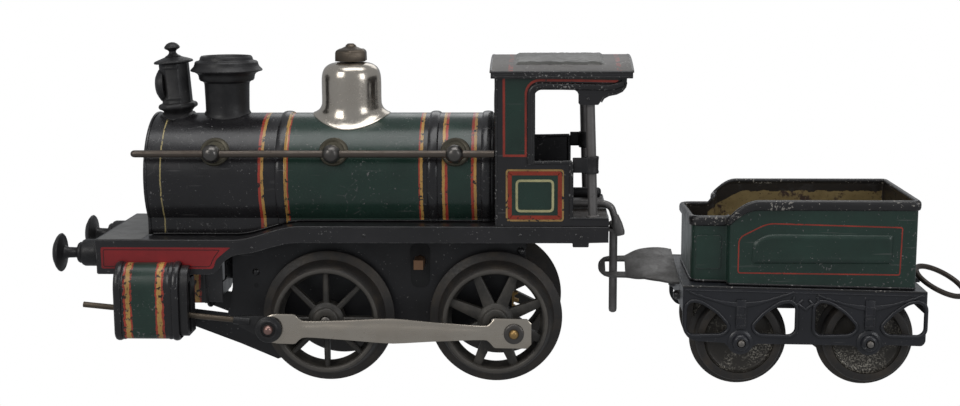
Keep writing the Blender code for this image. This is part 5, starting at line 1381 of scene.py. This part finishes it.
def make_driver(place, x, name, side, width_in, width_out, phase):
    """Cast wheel in three finishes: rubbed tyre, bright face ring, dull spokes and hub."""
    at = (x, side * FLANGE_Y, AXLE_Z)
    axis = outward(side)
    face = FACE_Y - FLANGE_Y
    tyre = [(21.05, face - 0.1), (21.35, face - 0.35), (22.2, 6.2), (23.2, 2.2), (23.5, 1.3), (24.4, 0.75),
            (26.1, 0.25), (26.7, -0.1), (26.8, -0.45), (26.6, -0.75), (25.6, -0.9), (19.8, -1.4),
            (19.5, -1.2), (19.5, 1.5)]
    body = f"{place}_wheelset"
    ring = lathe(f"driver_tyre_{place}_{name}", tyre + [(19.5, face - 1.4)], at, axis, 120, smooth=35)
    dress(ring, body, "wheel_iron", tyre_brown, f"driving_wheel_{place}_{name}")
    rim = [(19.25, face - 1.7), (19.45, face - 0.45), (19.9, face - 0.1), (20.5, face), (21.0, face - 0.1),
           (21.1, face - 0.5), (20.6, face - 2.2), (19.4, face - 2.2)]
    dress(lathe(f"driver_face_{place}_{name}", rim, at, axis, 120, smooth=50), body, "wheel_iron", wheel_face)
    web = [(19.5, face - 2.1), (19.3, 4.4), (18.6, 3.0), (17.9, 2.5), (17.9, 1.6), (19.6, 1.4)]
    parts = [lathe("rim_inside", web, at, axis, 96, smooth=50)]
    hub = [(2.3, face + 0.7), (3.4, face + 0.9), (4.6, face + 0.85), (5.2, face + 0.4), (5.5, face - 0.6),
           (6.6, face - 1.1), (7.2, face - 1.7), (7.3, 2.8), (6.5, 2.4), (6.2, -1.6), (2.3, -1.6)]
    parts.append(lathe("hub", hub, at, axis, 64, smooth=40))
    for k in range(8):
        angle = 2 * pi * k / 8 + radians(phase)
        parts.append(spoke(angle, 6.2, 19.7, width_in, width_out, 3.6, face - 1.6, face - 2.0, at, side))
    if place == "rear":
        turn = CRANK_ANGLES[name]
        boss_at = (x + CRANK_THROW * cos(turn), side * FLANGE_Y, AXLE_Z + CRANK_THROW * sin(turn))
        boss = [(0, face + 0.25), (3.9, face + 0.25), (4.4, face), (4.6, face - 0.6), (4.8, face - 3.6),
                (4.8, 3.2), (0, 3.2)]
        parts.append(lathe("crank_boss", boss, boss_at, axis, 48, smooth=40))
    dress(merged(f"driver_centre_{place}_{name}", *parts), body, "wheel_iron", spoke_iron)


def make_wheelsets():
    for place, x in (("front", FRONT_AXLE_X), ("rear", 0.0)):
        for name, side in SIDES.items():
            widths = (2.3, 2.0) if place == "front" else (4.8, 3.2)
            make_driver(place, x, name, side, *widths, 0 if place == "front" else 22.5)
        end = FACE_Y + 0.95
        axle = [(0, end), (1.3, end - 0.05), (1.8, end - 0.35), (2.0, end - 0.9), (2.0, -end + 0.9),
                (1.8, -end + 0.35), (1.3, -end + 0.05), (0, -end)]
        dress(lathe(f"driver_axle_{place}", axle, (x, 0, AXLE_Z), "Y", 40), f"{place}_wheelset", "bare_steel",
              bare_steel, f"driving_axle_{place}")
    for name, side in SIDES.items():
        make_crank_pin(name, side)


def crank_pin_at(name):
    turn = CRANK_ANGLES[name]
    return CRANK_THROW * cos(turn), AXLE_Z + CRANK_THROW * sin(turn)


def make_crank_pin(name, side):
    x, z = crank_pin_at(name)
    start = FACE_Y + 0.6
    out = ROD_Y + 0.6 - start
    axis = outward(side)
    screw = [(0, out + 2.5), (0.8, out + 2.4), (1.4, out + 2.0), (1.8, out + 1.4), (1.9, out + 0.95),
             (1.9, out - 0.2), (1.8, out - 0.3), (1.8, 1.4), (2.7, 1.3), (2.7, 0), (0, 0)]
    dress(lathe(f"crank_screw_{name}", screw, (x, side * start, z), axis, 40), "rear_wheelset",
          "gear_brass", brass,
          f"crank_pin_{name}")
    washer = [(1.95, out + 0.9), (2.3, out + 1.0), (3.2, out + 0.95), (3.8, out + 0.75), (4.0, out + 0.5),
              (4.0, out + 0.33), (1.95, out + 0.33)]
    dress(lathe(f"crank_washer_{name}", washer, (x, side * start, z), axis, 48), "rear_wheelset",
          "bare_steel",
          knob_steel)


def rod_half_height(x):
    """Half height of the fish-bellied rod, x counted forwards from the crank pin."""
    stations = [(-6.9, 4.2), (-5.2, 6.0), (7.2, 6.0), (8.0, 5.7), (9.8, 3.6), (10.8, 2.95), (12.0, 2.85),
                (16.0, 2.95), (32.0, 3.9), (44.0, 4.85), (48.5, 5.1), (54.0, 4.85), (66.0, 4.05),
                (82.0, 3.2), (84.4, 3.5), (85.9, 4.6), (87.0, 5.8), (88.2, 6.1), (94.6, 6.0), (96.4, 5.7),
                (97.6, 5.2), (98.9, 4.9), (100.2, 4.4), (101.2, 3.7), (102.0, 2.6)]
    for (x0, h0), (x1, h1) in zip(stations, stations[1:]):
        if x <= x1:
            return h0 + (h1 - h0) * (x - x0) / (x1 - x0)
    return stations[-1][1]


def make_connecting_rod(name, side):
    """Stamped, nickelled rod with a rounded rib pressed along its shank."""
    px, pz = crank_pin_at(name)
    edge_xs = [-6.9, -6.6, -5.2, -2, 2, 6, 7.2, 7.6, 8.0, 8.6, 9.2, 9.8, 10.3, 10.8, 12]
    edge_xs += [14 + 2.0 * k for k in range(34)] + [82.6, 83.2, 84.0, 84.6, 85.2, 85.9, 86.5, 87.0, 87.6,
                                                    88.2, 91, 94, 94.6, 95.5, 96.4, 97.6, 98.9, 100.2,
                                                    100.7, 101.2, 101.6, 102.0]
    across = [-1, -0.965, -0.88, -0.7, -0.55, -0.42, -0.3, -0.15, 0, 0.15, 0.3, 0.42, 0.55, 0.7, 0.88,
              0.965, 1]

    def lift(x, v):
        ridge = min(max((x - 9.0) / 5.0, 0), 1) * min(max((86.0 - x) / 5.0, 0), 1)
        bump = max(1 - (abs(v) / 0.62) ** 2, 0) * 0.62 * ridge
        rolled = -0.28 * max((abs(v) - 0.86) / 0.14, 0) ** 1.5
        return 0.42 + bump + rolled

    shape = bmesh.new()
    outer, inner = [], []
    for x in edge_xs:
        half, rise = rod_half_height(x), ROD_RISE * x / ROD_CENTRES
        outer.append([shape.verts.new((px - x, side * (ROD_Y + lift(x, v)), pz + rise + half * v))
                      for v in across])
        inner.append([shape.verts.new((px - x, side * (ROD_Y - 0.5), pz + rise + half * v)) for v in across])
    last = len(across) - 1
    for i in range(len(edge_xs) - 1):
        for j in range(last):
            shape.faces.new((outer[i][j], outer[i + 1][j], outer[i + 1][j + 1], outer[i][j + 1]))
            shape.faces.new((inner[i][j], inner[i][j + 1], inner[i + 1][j + 1], inner[i + 1][j]))
        for j in (0, last):
            shape.faces.new((outer[i][j], inner[i][j], inner[i + 1][j], outer[i + 1][j]))
    for i in (0, len(edge_xs) - 1):
        for j in range(last):
            shape.faces.new((outer[i][j], outer[i][j + 1], inner[i][j + 1], inner[i][j]))
    rod = new_object(f"connecting_rod_stamped_{name}", shape_mesh("rod", shape, 42))
    dress(rod, f"{name}_rod", "nickel_plate", rod_nickel, f"connecting_rod_{name}")


def make_piston_rod(name, side):
    px, pz = crank_pin_at(name)
    x, z = px - ROD_CENTRES, pz + ROD_RISE
    tail, socket, slope, axis_z = -75.0, -8.8, 0.0985, 1.7
    points = [(x + t, side * PISTON_ROD_Y, z + axis_z - slope * t) for t in (tail, tail + 0.6, -40, socket)]
    bar = tube("bar", points, 1.15, resolution=5)
    dress(bar, f"{name}_rod", "bare_steel", dull_rod, f"piston_rod_{name}")
    bar.name = f"piston_rod_bar_{name}"
    low = [(-12.5, 1.0), (-12.0, 4.6), (-5.0, 4.9), (-1.0, 4.4), (3.6, 2.0), (3.6, -2.4), (0, -4.3),
           (-5.2, -3.1), (-11.4, 0.2)]
    inner, outer = PISTON_ROD_Y - 1.3, ROD_Y - 0.6 - GAP
    block_outline = rounded([(x + u, z + v) for u, v in low], 0.9)
    head = plate("crosshead_block", block_outline, outer - inner, "XZ", side * (inner + outer) / 2, bevel=0.3)
    sleeve = tube("sleeve", [(x - 14.4, side * PISTON_ROD_Y, z + axis_z + slope * 14.4),
                             (x - 8.0, side * PISTON_ROD_Y, z + axis_z + slope * 8.0)], 1.75, resolution=5)
    dress(merged(f"crosshead_{name}", head, sleeve), f"{name}_rod", "cast_black", cast_black)
    start = ROD_Y + 0.6 + GAP
    axis = outward(side)
    dish = [(0, 1.3), (2.6, 1.3), (2.9, 1.75), (3.5, 1.8), (3.9, 1.4), (4.6, 1.25), (5.2, 0.95),
            (5.4, 0.55), (5.2, 0.15), (4.4, 0.0), (0, 0.0)]
    dress(lathe(f"crosshead_washer_{name}", dish, (x, side * start, z), axis, 56), f"{name}_rod",
          "cast_black",
          cast_black, f"crosshead_pin_{name}")
    pin = [(0, 3.3), (0.9, 3.15), (1.6, 2.6), (1.95, 1.9), (2.0, 1.2), (0, 1.2)]
    dress(lathe(f"crosshead_stud_{name}", pin, (x, side * start, z), axis, 32), f"{name}_rod", "bare_steel",
          stud_red)


# ---------------------------------------------------------------- mechanism between the frames

ARBOR_X, ARBOR_Z = -30.8, 49.0          # the winding square


def softened(node, width, segments=1):
    """Welds a kept CAD node's facets and rounds its sharp edges with modifiers."""
    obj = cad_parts[node]
    weld = obj.modifiers.new("weld", "WELD")
    weld.merge_threshold = 0.000005
    return bevelled(obj, width, segments, 35)


def keep(node, material, width=0.15):
    """Keeps a CAD node, softened, in one of this script's materials."""
    obj = softened(node, width)
    obj.data.materials.clear()
    obj.data.materials.append(material)
    return obj


def make_mechanism():
    for name in SIDES:
        keep(f"mechanism_plate_{name}", plate_black)
    for node in ("great_wheel", "idler_gear", "axle_gear"):
        keep(node, brass, 0.08)
    keep("winding_arbor", bronze, 0.12)
    keep("ratchet_click", bare_steel, 0.12)
    keep("mainspring", spring_steel, 0.05)
    for place in ("front", "rear"):
        keep(f"plate_spacer_{place}", bare_steel, 0.2)
    for name, side in SIDES.items():
        ends = [rivet((x, side * 18.4, z), side, 1.6) for x, z in ((-98.0, 44.0), (9.9, 53.2), (-48.0, 26.0))]
        dress(merged(f"plate_rivets_{name}", *ends), "engine", "black_enamel", bead_black)
    # A thin near-black slot sheet round the winding arbor and a small black disc on the plate are painted
    # shade for a recess and a hole.
    slot = rounded([(ARBOR_X - 3.6, 38.0), (ARBOR_X + 3.6, 38.0), (ARBOR_X + 4.2, 56.0),
                    (ARBOR_X - 4.2, 56.0)], 3.2)
    hole = circle((ARBOR_X, ARBOR_Z), 2.9, 32)
    dress(plate("key_recess", slot, 0.25, "XZ", -18.6, holes=(hole,), bevel=0.06), "engine", "black_enamel",
          hole_shade_black)
    spot = circle((-98.0, 38.5), 1.0, 20)
    dress(plate("plate_small_hole", spot, 0.06, "XZ", -18.44), "engine", "black_enamel", hole_shade_black)


# ---------------------------------------------------------------- tender

TENDER_AXLES = (97.2, 147.6)
TENDER_AXLE_Z = 19.4
TUB_X = (92.0, 165.6)
TUB_NOSE_X = 78.0
TUB_HALF_WIDTH = 29.5
NOSE_HALF_WIDTH = 24.0
TUB_Z = (42.3, 76.2)
NOSE_TOP_Z = 68.4
FAR_NOSE_TOP_Z = 66.4
FLOOR_FALL = 0.022
FRAME_X = (74.2, 169.7)
FRAME_HALF_WIDTH = 31.4
FRAME_TOP_Z = 42.0
WALL = 0.8


def frame_top(x):
    return FRAME_TOP_Z - FLOOR_FALL * (x - FRAME_X[0])


def rim_height(x, y):
    """Top edge of the tub: low on the nose, which dips to the far side, and an S up to the side rims."""
    far = min(max((y + NOSE_HALF_WIDTH) / (2 * NOSE_HALF_WIDTH), 0), 1)
    nose = NOSE_TOP_Z + (FAR_NOSE_TOP_Z - NOSE_TOP_Z) * far
    start = TUB_X[0] - 0.6 - 1.8 * far
    t = min(max((x - start) / 12.0, 0), 1)
    return nose + (TUB_Z[1] - 0.7 - nose) * (1 - (1 - t) ** 1.9)


def tub_plan(inset=0.0):
    """Plan of the tub as a closed loop of points with rounded corners, finely stepped along the sides."""
    nose, wide = NOSE_HALF_WIDTH - inset, TUB_HALF_WIDTH - inset
    low, mid, high = TUB_NOSE_X + inset, TUB_X[0] + inset, TUB_X[1] - inset
    outline = rounded([(low, -nose), (mid, -nose), (mid, -wide), (high, -wide), (high, wide), (mid, wide),
                       (mid, nose), (low, nose)], [4.5, 0.8, 2.2, 2.0, 2.0, 2.2, 0.8, 4.5], 6)
    dense = []
    for index, point in enumerate(outline):
        after = Vector(outline[(index + 1) % len(outline)])
        here = Vector(point)
        steps = max(1, int((after - here).length / 1.5))
        dense += [tuple(here + (after - here) * k / steps) for k in range(steps)]
    return dense


def make_tub():
    outline = tub_plan()
    levels = [0.0, 0.01, 0.3, 0.6, 0.9, 0.985, 1.0]
    shape = bmesh.new()
    rows = []
    for t in levels:
        feet = [TUB_Z[0] - FLOOR_FALL * (x - FRAME_X[0]) for x, _ in outline]
        rows.append([shape.verts.new((x, y, foot + (rim_height(x, y) - foot) * t))
                     for (x, y), foot in zip(outline, feet)])
    skin(shape, rows)
    walls = new_object("tender_tub_walls", shape_mesh("tender_tub_walls", shape, 38))
    modifier = sheet_metal(walls, WALL)
    modifier.material_offset = 1
    modifier.material_offset_rim = 0
    dress(walls, "tender", "green_lithograph", (tender_green, bunker_tan), "tender_tub")
    floor = plate("tender_tub_floor", tub_plan(WALL * 0.6), 0.8, "XY", TUB_Z[0] + 0.42)
    dress(floor, "tender", "green_lithograph", bunker_tan)

    make_rim_band()
    foot = [(x, y, TUB_Z[0] + 0.45 - FLOOR_FALL * (x - FRAME_X[0])) for x, y in tub_plan(0.15)]
    dress(tube("tender_foot_bead", foot, 0.5, closed=True, resolution=3), "tender", "black_enamel",
          bead_black)
    for name, side in SIDES.items():
        make_tub_side(name, side)


def make_rim_band():
    """Rolled band round the top of the tub, standing out from its sides."""
    outline = tub_plan()
    section = [(0.0, -3.7), (0.75, -3.4), (1.05, -2.7), (1.1, -1.4), (0.95, -0.4), (0.4, 0.25),
               (-0.35, 0.45), (-1.0, 0.1), (-1.15, -0.7), (-0.85, -1.5)]
    shape = bmesh.new()
    rings = []
    for index, (x, y) in enumerate(outline):
        before, after = Vector(outline[index - 1]), Vector(outline[(index + 1) % len(outline)])
        along = (after - before).normalized()
        normal = Vector((along.y, -along.x))
        top = rim_height(x, y)
        rings.append([shape.verts.new((x + normal.x * out, y + normal.y * out, top + up))
                      for out, up in section])
    skin(shape, rings, along=True)
    dress(new_object("tender_rim_band", shape_mesh("tender_rim_band", shape, 60)), "tender", "black_enamel",
          rim_black)


def make_tub_side(name, side):
    """Embossed panel and red lining on one side sheet, and a panel on the narrow nose."""
    face = TUB_HALF_WIDTH
    panel = [(100.9, 50.6), (156.0, 50.6), (156.0, 62.2), (107.2, 62.6), (101.3, 59.4)]
    steps = [(0.0, 0.0), (0.35, 0.32), (0.9, 0.75), (1.5, 0.95), (2.4, 0.8), (3.0, 0.7)]
    shape = bmesh.new()
    rows = []
    for inset, rise in steps:
        loop = rounded(shrink(panel, inset), [1.2, 1.2, 1.2, 3.0, 2.4], 6)
        rows.append([shape.verts.new((x, side * (face - 0.05 + rise), z)) for x, z in loop])
    back = [shape.verts.new((vert.co.x, side * (face - 0.3), vert.co.z)) for vert in rows[0]]
    rows.insert(0, back)
    skin(shape, rows)
    shape.faces.new(rows[-1])
    shape.faces.new(rows[0])
    dress(new_object(f"tender_panel_{name}", shape_mesh("panel", shape, 50)), "tender", "green_lithograph",
          tender_green)
    line = rounded([(95.9, 46.9), (159.0, 46.3), (159.4, 65.2), (107.0, 66.7), (95.9, 61.0)],
                   [0.9, 0.9, 0.9, 3, 2.5])
    frame_line(f"tender_red_line_{name}", line, 0.52, side, face, "tender", "green_lithograph", line_red)
    nose = NOSE_HALF_WIDTH
    small = rounded_box((79.8, 89.6), (47.5, 61.0), 1.2)
    dress(plate(f"tender_nose_panel_{name}", small, 0.7, "XZ", side * (nose + 0.15), bevel=0.3), "tender",
          "green_lithograph", tender_green)


def shrink(points, inset):
    """Moves each edge of a convex outline, listed anticlockwise, inwards."""
    result = []
    count = len(points)
    for index in range(count):
        before, here, after = (Vector(points[(index + k) % count]) for k in (-1, 0, 1))
        one, two = (here - before).normalized(), (after - here).normalized()
        n1, n2 = Vector((-one.y, one.x)), Vector((-two.y, two.x))
        mid = (n1 + n2).normalized()
        result.append(tuple(here + mid * (inset / max(mid.dot(n1), 0.3))))
    return result


def make_footplate():
    keep("tender_footplate", frame_black, 0.2)
    low, high = FRAME_X
    half = FRAME_HALF_WIDTH - 0.2
    edges = [tube("edge", [(low + 0.3, side * half, FRAME_TOP_Z - 0.25),
                           (high - 0.3, side * half, frame_top(high) - 0.25)],
                  0.42) for side in SIDES.values()]
    for x in (low + 0.35, high - 0.35):
        edges.append(tube("edge", [(x, -half, frame_top(x) - 0.3), (x, half, frame_top(x) - 0.3)], 0.4))
    dress(merged("tender_floor_edges", *edges), "tender", "black_enamel", rim_black)
    pins = [lathe("pin", [(0, 2.3), (1.2, 2.1), (1.9, 1.2), (2.0, 0), (0, 0)],
                  (low + 0.1, side * 12.0, 34.0), "-X", 24)
            for side in SIDES.values()]
    dress(merged("tender_front_rivets", *pins), "tender", "black_enamel", bead_black)


def leaf_window(centre, lean):
    """One leaf-shaped opening beside an axle box; lean is -1 in front of the axle, +1 behind."""
    shape = [(4.9, 25.4), (7.4, 22.8), (19.5, 22.4), (21.2, 24.0), (21.2, 33.6), (19.4, 35.4), (15.4, 34.8),
             (9.4, 30.6)]
    loop = [(centre + lean * u, z) for u, z in shape]
    return rounded(loop, 1.8, 5)


def make_side_frames():
    """Pressed frames: rolled window edges, leaf springs, straps and axle boxes."""
    front, rear = TENDER_AXLES
    low, high = FRAME_X
    nose = rounded([(low, FRAME_TOP_Z), (low, 24.0), (77.4, 19.8), (front - 6.4, 18.9)], [0.3, 2.5, 3, 0])
    tail = rounded([(rear + 7, 18.4), (168.4, 18.0), (high, 19.6), (high, frame_top(high))],
                   [0, 0.8, 0.8, 0.3])
    outline = [*nose, *arc((front, TENDER_AXLE_Z), 5.2, 200, 340, 18), (front + 7, 18.6), (rear - 7, 18.2),
               *arc((rear, TENDER_AXLE_Z), 5.2, 200, 340, 18), *tail]
    windows = [leaf_window(x, lean) for x in TENDER_AXLES for lean in (-1, 1)]
    holes = [circle((x, TENDER_AXLE_Z), 1.65, 28) for x in TENDER_AXLES] + windows
    for name, side in SIDES.items():
        outer = FRAME_HALF_WIDTH
        sheet = plate(f"tender_frame_{name}", outline, 0.8, "XZ", side * (outer - 0.4), holes=holes,
                      bevel=0.15)
        dress(sheet, "tender", "black_enamel", frame_black, f"tender_side_frame_{name}")
        y = side * (outer + 0.1)
        parts = [tube("window_bead", on_side(grown(loop, 0.75), y), 0.75, closed=True, resolution=4)
                 for loop in windows]
        for centre in TENDER_AXLES:
            parts += frame_fittings(centre, side, outer)
        parts.append(tube("top_crease", on_side([(low + 1, 40.2), (high - 1, frame_top(high) - 1.8)],
                                                side * (outer - 0.1)), 0.35))
        middle = (front + rear) / 2
        for lean in (-1, 1):
            hanger = [(middle + lean * 1.2, 36.5), (middle + lean * 3.4, 34.4), (middle + lean * 5.4, 35.8),
                      (middle + lean * 4.4, 37.8)]
            parts.append(tube("hanger", on_side(hanger, y), 0.7, resolution=3))
        boss = [(middle - 3.0, 35.0), (middle, 32.6), (middle + 3.0, 35.0)]
        parts.append(tube("hanger_loop", on_side(boss, y), 0.7, resolution=3))
        dress(merged(f"tender_frame_relief_{name}", *parts), "tender", "black_enamel", frame_black)


def grown(loop, distance):
    """Moves a closed outline outwards by a distance."""
    area = sum(a[0] * b[1] - b[0] * a[1] for a, b in zip(loop, loop[1:] + loop[:1]))
    sign = 1 if area > 0 else -1
    result = []
    for index, point in enumerate(loop):
        before, after = Vector(loop[index - 1]), Vector(loop[(index + 1) % len(loop)])
        along = (after - before).normalized()
        result.append((point[0] + sign * along.y * distance, point[1] - sign * along.x * distance))
    return result


def frame_fittings(centre, side, outer):
    """Leaf spring, strap, bolt square and axle-box boss over one axle."""
    y = side * (outer + 0.05)
    parts = []
    for leaf in range(4):
        reach, sag, z = 20.5 - 3.6 * leaf, 4.6 - 0.75 * leaf, frame_top(centre) - 1.9 - 1.15 * leaf
        curve = [(centre + reach * t, z - sag * (1 - t * t)) for t in [k / 8 - 1 for k in range(17)]]
        parts.append(tube("leaf", on_side(curve, y), 0.52, resolution=3))
    parts.append(block("strap", (centre - 1.9, centre + 1.9), (side * (outer - 0.2), side * (outer + 0.75)),
                       (24.6, 36.6), 0.35))
    for z in (27.6, 32.0):
        square = on_side(rounded_box((centre - 1.7, centre + 1.7), (z - 1.6, z + 1.6), 0.4),
                         side * (outer + 0.75))
        parts.append(tube("bolt_square", square, 0.32, closed=True, resolution=2))
    box = [(1.75, 3.0), (2.5, 2.9), (3.1, 2.4), (3.45, 1.5), (3.6, 0.9), (4.4, 0.7), (4.9, 0.3),
           (5.0, -0.3), (1.75, -0.3)]
    parts.append(lathe("axle_box", box, (centre, side * outer, TENDER_AXLE_Z), outward(side), 48))
    return parts


def make_tender_wheels():
    """Pressed tin wheels: dark flange and tread, speckled dished face, raised ring and hub."""
    profile = [(16.6, 5.6), (17.0, 5.0), (17.2, 1.9), (17.6, 1.0), (19.2, 0.35), (19.4, 0.0),
               (19.35, -0.45), (18.6, -0.65), (13.6, -1.2), (13.4, -0.8), (13.6, 4.6), (13.9, 5.9),
               (15.2, 6.05)]
    dish = [(13.7, 5.6), (13.2, 4.6), (12.4, 4.15), (9.0, 4.2), (6.0, 4.45), (4.9, 4.7), (4.4, 5.4),
            (4.2, 6.6), (3.8, 7.1), (1.65, 7.2), (1.65, 3.4), (12.6, 3.2), (13.7, 3.8)]
    for place, x in zip(("front", "rear"), TENDER_AXLES):
        body = f"tender_{place}_wheelset"
        for name, side in SIDES.items():
            at, axis = (x, side * FLANGE_Y, TENDER_AXLE_Z), outward(side)
            dress(lathe(f"tender_tyre_{place}_{name}", profile, at, axis, 96, smooth=35), body,
                  "wheel_iron", tyre_brown,
                  f"tender_wheel_{place}_{name}")
            dress(lathe(f"tender_dish_{place}_{name}", dish, at, axis, 96, smooth=40), body, "wheel_iron",
                  tin_wheel)
        end = 35.45
        axle = [(0, end), (0.8, end - 0.05), (1.25, end - 0.4), (1.4, end - 1.0), (1.4, -end + 1.0),
                (1.25, -end + 0.4), (0.8, -end + 0.05), (0, -end)]
        dress(lathe(f"tender_axle_bar_{place}", axle, (x, 0, TENDER_AXLE_Z), "Y", 32), body, "bare_steel",
              bare_steel,
              f"tender_axle_{place}")


def between(stations, x):
    """Linear interpolation through (place, value) stations."""
    for (x0, v0), (x1, v1) in zip(stations, stations[1:]):
        if x <= x1:
            return v0 + (v1 - v0) * max(x - x0, 0) / (x1 - x0)
    return stations[-1][1]


def make_tongue():
    """Worn drawbar plate, bent and twisted by use, with a slot over the pin."""
    widths = [(41.9, 0.8), (42.2, 2.6), (43.0, 4.3), (44.2, 5.9), (46.0, 6.8), (48.0, 7.0), (53.0, 7.2),
              (54.5, 8.4), (56.0, 10.0), (60.0, 14.5), (66.0, 20.0), (68.5, 21.4), (70.5, 22.0),
              (73.8, 21.4)]
    twists = [(53.0, 25.0), (56.0, 20.0), (60.0, 12.5), (66.0, 8.0), (70.0, 7.0), (74.0, 7.0)]
    levels = [(53.0, 43.1), (60.0, 44.4), (66.0, 44.3), (71.0, 43.8), (74.0, 43.4)]
    stations = [41.9, 42.05, 42.2, 42.6, 43.0, 43.6, 44.2, 44.8, 45.6, 46.6, 48.0, 49.5, 51.0, 52.2, 53.0]
    stations += [53.0 + 0.65 * k for k in range(1, 33)]
    slot_low, slot_high = 44.8, 53.0
    columns = [-1, -0.97, -0.8, -0.6, -0.35, 0]
    shape = bmesh.new()
    rows = []
    for x in stations:
        half = between(widths, x)
        slot_half = min(4.0, 0.62 * half)
        across = [-half + (half - slot_half) * (1 + u) for u in columns]
        across += [-slot_half + 2 * slot_half * k / 6 for k in range(1, 6)] + [-y for y in reversed(across)]
        turn = radians(between(twists, x))
        rows.append([shape.verts.new((x, y * cos(turn), between(levels, x) + y * sin(turn))) for y in across])
    for number, (one, two) in enumerate(zip(rows, rows[1:])):
        in_slot = slot_low - 0.01 <= stations[number] and stations[number + 1] <= slot_high + 0.01
        for k in range(len(one) - 1):
            if not (in_slot and len(columns) - 1 <= k < len(columns) + 5):
                shape.faces.new((one[k], one[k + 1], two[k + 1], two[k]))
    tongue = new_object("drawbar_plate", shape_mesh("drawbar_plate", shape, 50))
    sheet_metal(tongue, 0.9, 0)
    bevelled(tongue, 0.25)
    dress(tongue, "tender", "bare_steel", tongue_steel, "tender_drawbar")


def make_coupling_loop():
    """Flat ring with rounded edges, drooping from its lug and rolled down on its near side."""
    root, radius, width, thick = Vector((172.87, 0, 41.6)), 10.75, 2.2, 2.0
    droop, roll = radians(22.5), radians(15)
    lie = Matrix.Rotation(droop, 4, "Y") @ Matrix.Rotation(roll, 4, "X")
    shape = bmesh.new()
    section = rounded_box((-width / 2, width / 2), (-thick / 2, thick / 2), 0.9, 4)
    rings = []
    for turn in [2 * pi * k / 96 for k in range(96)]:
        flat = [(radius + (radius + u) * cos(turn), (radius + u) * sin(turn), w) for u, w in section]
        rings.append([shape.verts.new(root + lie @ Vector(point)) for point in flat])
    skin(shape, rings, along=True)
    loop = new_object("coupling_ring", shape_mesh("coupling_ring", shape, 40))
    dress(loop, "coupling_loop", "bare_steel", loop_brown, "coupling_loop")


# ---------------------------------------------------------------- build

make_running_board()
make_cylinder_bracket()
make_cylinders()
make_buffers()
make_boiler()
make_smokebox_front()
make_chimney()
make_dome()
make_headlamp()
make_handrails()
make_cab()
make_roof()
make_cab_posts()
make_controls()
make_draw_pin()
make_wheelsets()
for side_name, side_sign in SIDES.items():
    make_connecting_rod(side_name, side_sign)
    make_piston_rod(side_name, side_sign)
make_mechanism()
make_tub()
make_footplate()
make_side_frames()
make_tender_wheels()
make_tongue()
make_coupling_loop()


# ---------------------------------------------------------------- floor, light and camera

def make_backdrop():
    """White studio round the train: a floor and a dome that only the camera sees."""
    shape = bmesh.new()
    bmesh.ops.create_uvsphere(shape, u_segments=48, v_segments=24, radius=4.0)
    for vert in shape.verts:
        vert.co.z = max(vert.co.z, 0.0)
    mesh = bpy.data.meshes.new("studio")
    shape.to_mesh(mesh)
    shape.free()
    studio = new_object("studio", mesh)
    graph = Graph("studio_white")
    graph.finish((0.0, 0.0, 0.0), 1.0)
    graph.shader.inputs["Specular IOR Level"].default_value = 0.0
    graph.shader.inputs["Emission Color"].default_value = (1, 1, 1, 1)
    graph.shader.inputs["Emission Strength"].default_value = 1.0
    mesh.materials.append(graph.material)
    studio.visible_diffuse = False
    studio.visible_glossy = False
    studio.visible_shadow = False


def area_light(name, place, target, size, power, colour=(1, 1, 1)):
    light = bpy.data.lights.new(name, "AREA")
    light.shape = "RECTANGLE"
    light.size, light.size_y = size
    light.energy = power
    light.color = colour
    obj = bpy.data.objects.new(name, light)
    obj.location = place
    obj.rotation_euler = (Vector(target) - Vector(place)).to_track_quat("-Z", "Y").to_euler()
    bpy.context.scene.collection.objects.link(obj)


def make_light():
    world = bpy.data.worlds.new("studio")
    bpy.context.scene.world = world
    world.use_nodes = True
    background = world.node_tree.nodes["Background"]
    background.inputs["Color"].default_value = (0.93, 0.96, 1.0, 1)
    background.inputs["Strength"].default_value = 0.30
    area_light("overhead", (0.05, -0.15, 0.95), (0, 0, 0.05), (0.9, 0.5), 3.2)
    area_light("front_left", (-0.75, -0.85, 0.65), (-0.02, 0, 0.06), (0.5, 0.5), 2.6, (1.0, 0.98, 0.95))
    area_light("front_right", (0.85, -0.75, 0.45), (0.05, 0, 0.06), (0.4, 0.5), 1.7, (0.97, 0.98, 1.0))
    area_light("behind", (0.1, 0.9, 0.6), (0, 0, 0.06), (0.8, 0.4), 1.0)


def make_camera():
    """A plain lens of 55 mm, 0.6 m from the train, a little above it and looking slightly down."""
    pitch, yaw, roll = 0.163237, -0.0436774, -0.00494482
    camera = bpy.data.cameras.new("camera")
    camera.sensor_width = 36
    camera.lens = 55.109
    obj = bpy.data.objects.new("camera", camera)
    forward = Vector((sin(yaw) * cos(pitch), cos(yaw) * cos(pitch), -sin(pitch)))
    level = forward.cross(Vector((0, 0, 1))).normalized()
    upright = level.cross(forward)
    right = level * cos(roll) + upright * sin(roll)
    up = upright * cos(roll) - level * sin(roll)
    turn = Matrix((right, up, -forward)).transposed().to_4x4()
    place = ((19.072 + X0) * MM, -0.601131, 0.168859)
    obj.matrix_world = Matrix.Translation(place) @ turn
    bpy.context.scene.collection.objects.link(obj)
    bpy.context.scene.camera = obj


make_backdrop()
make_light()
make_camera()
bpy.context.scene.view_settings.view_transform = "Standard"
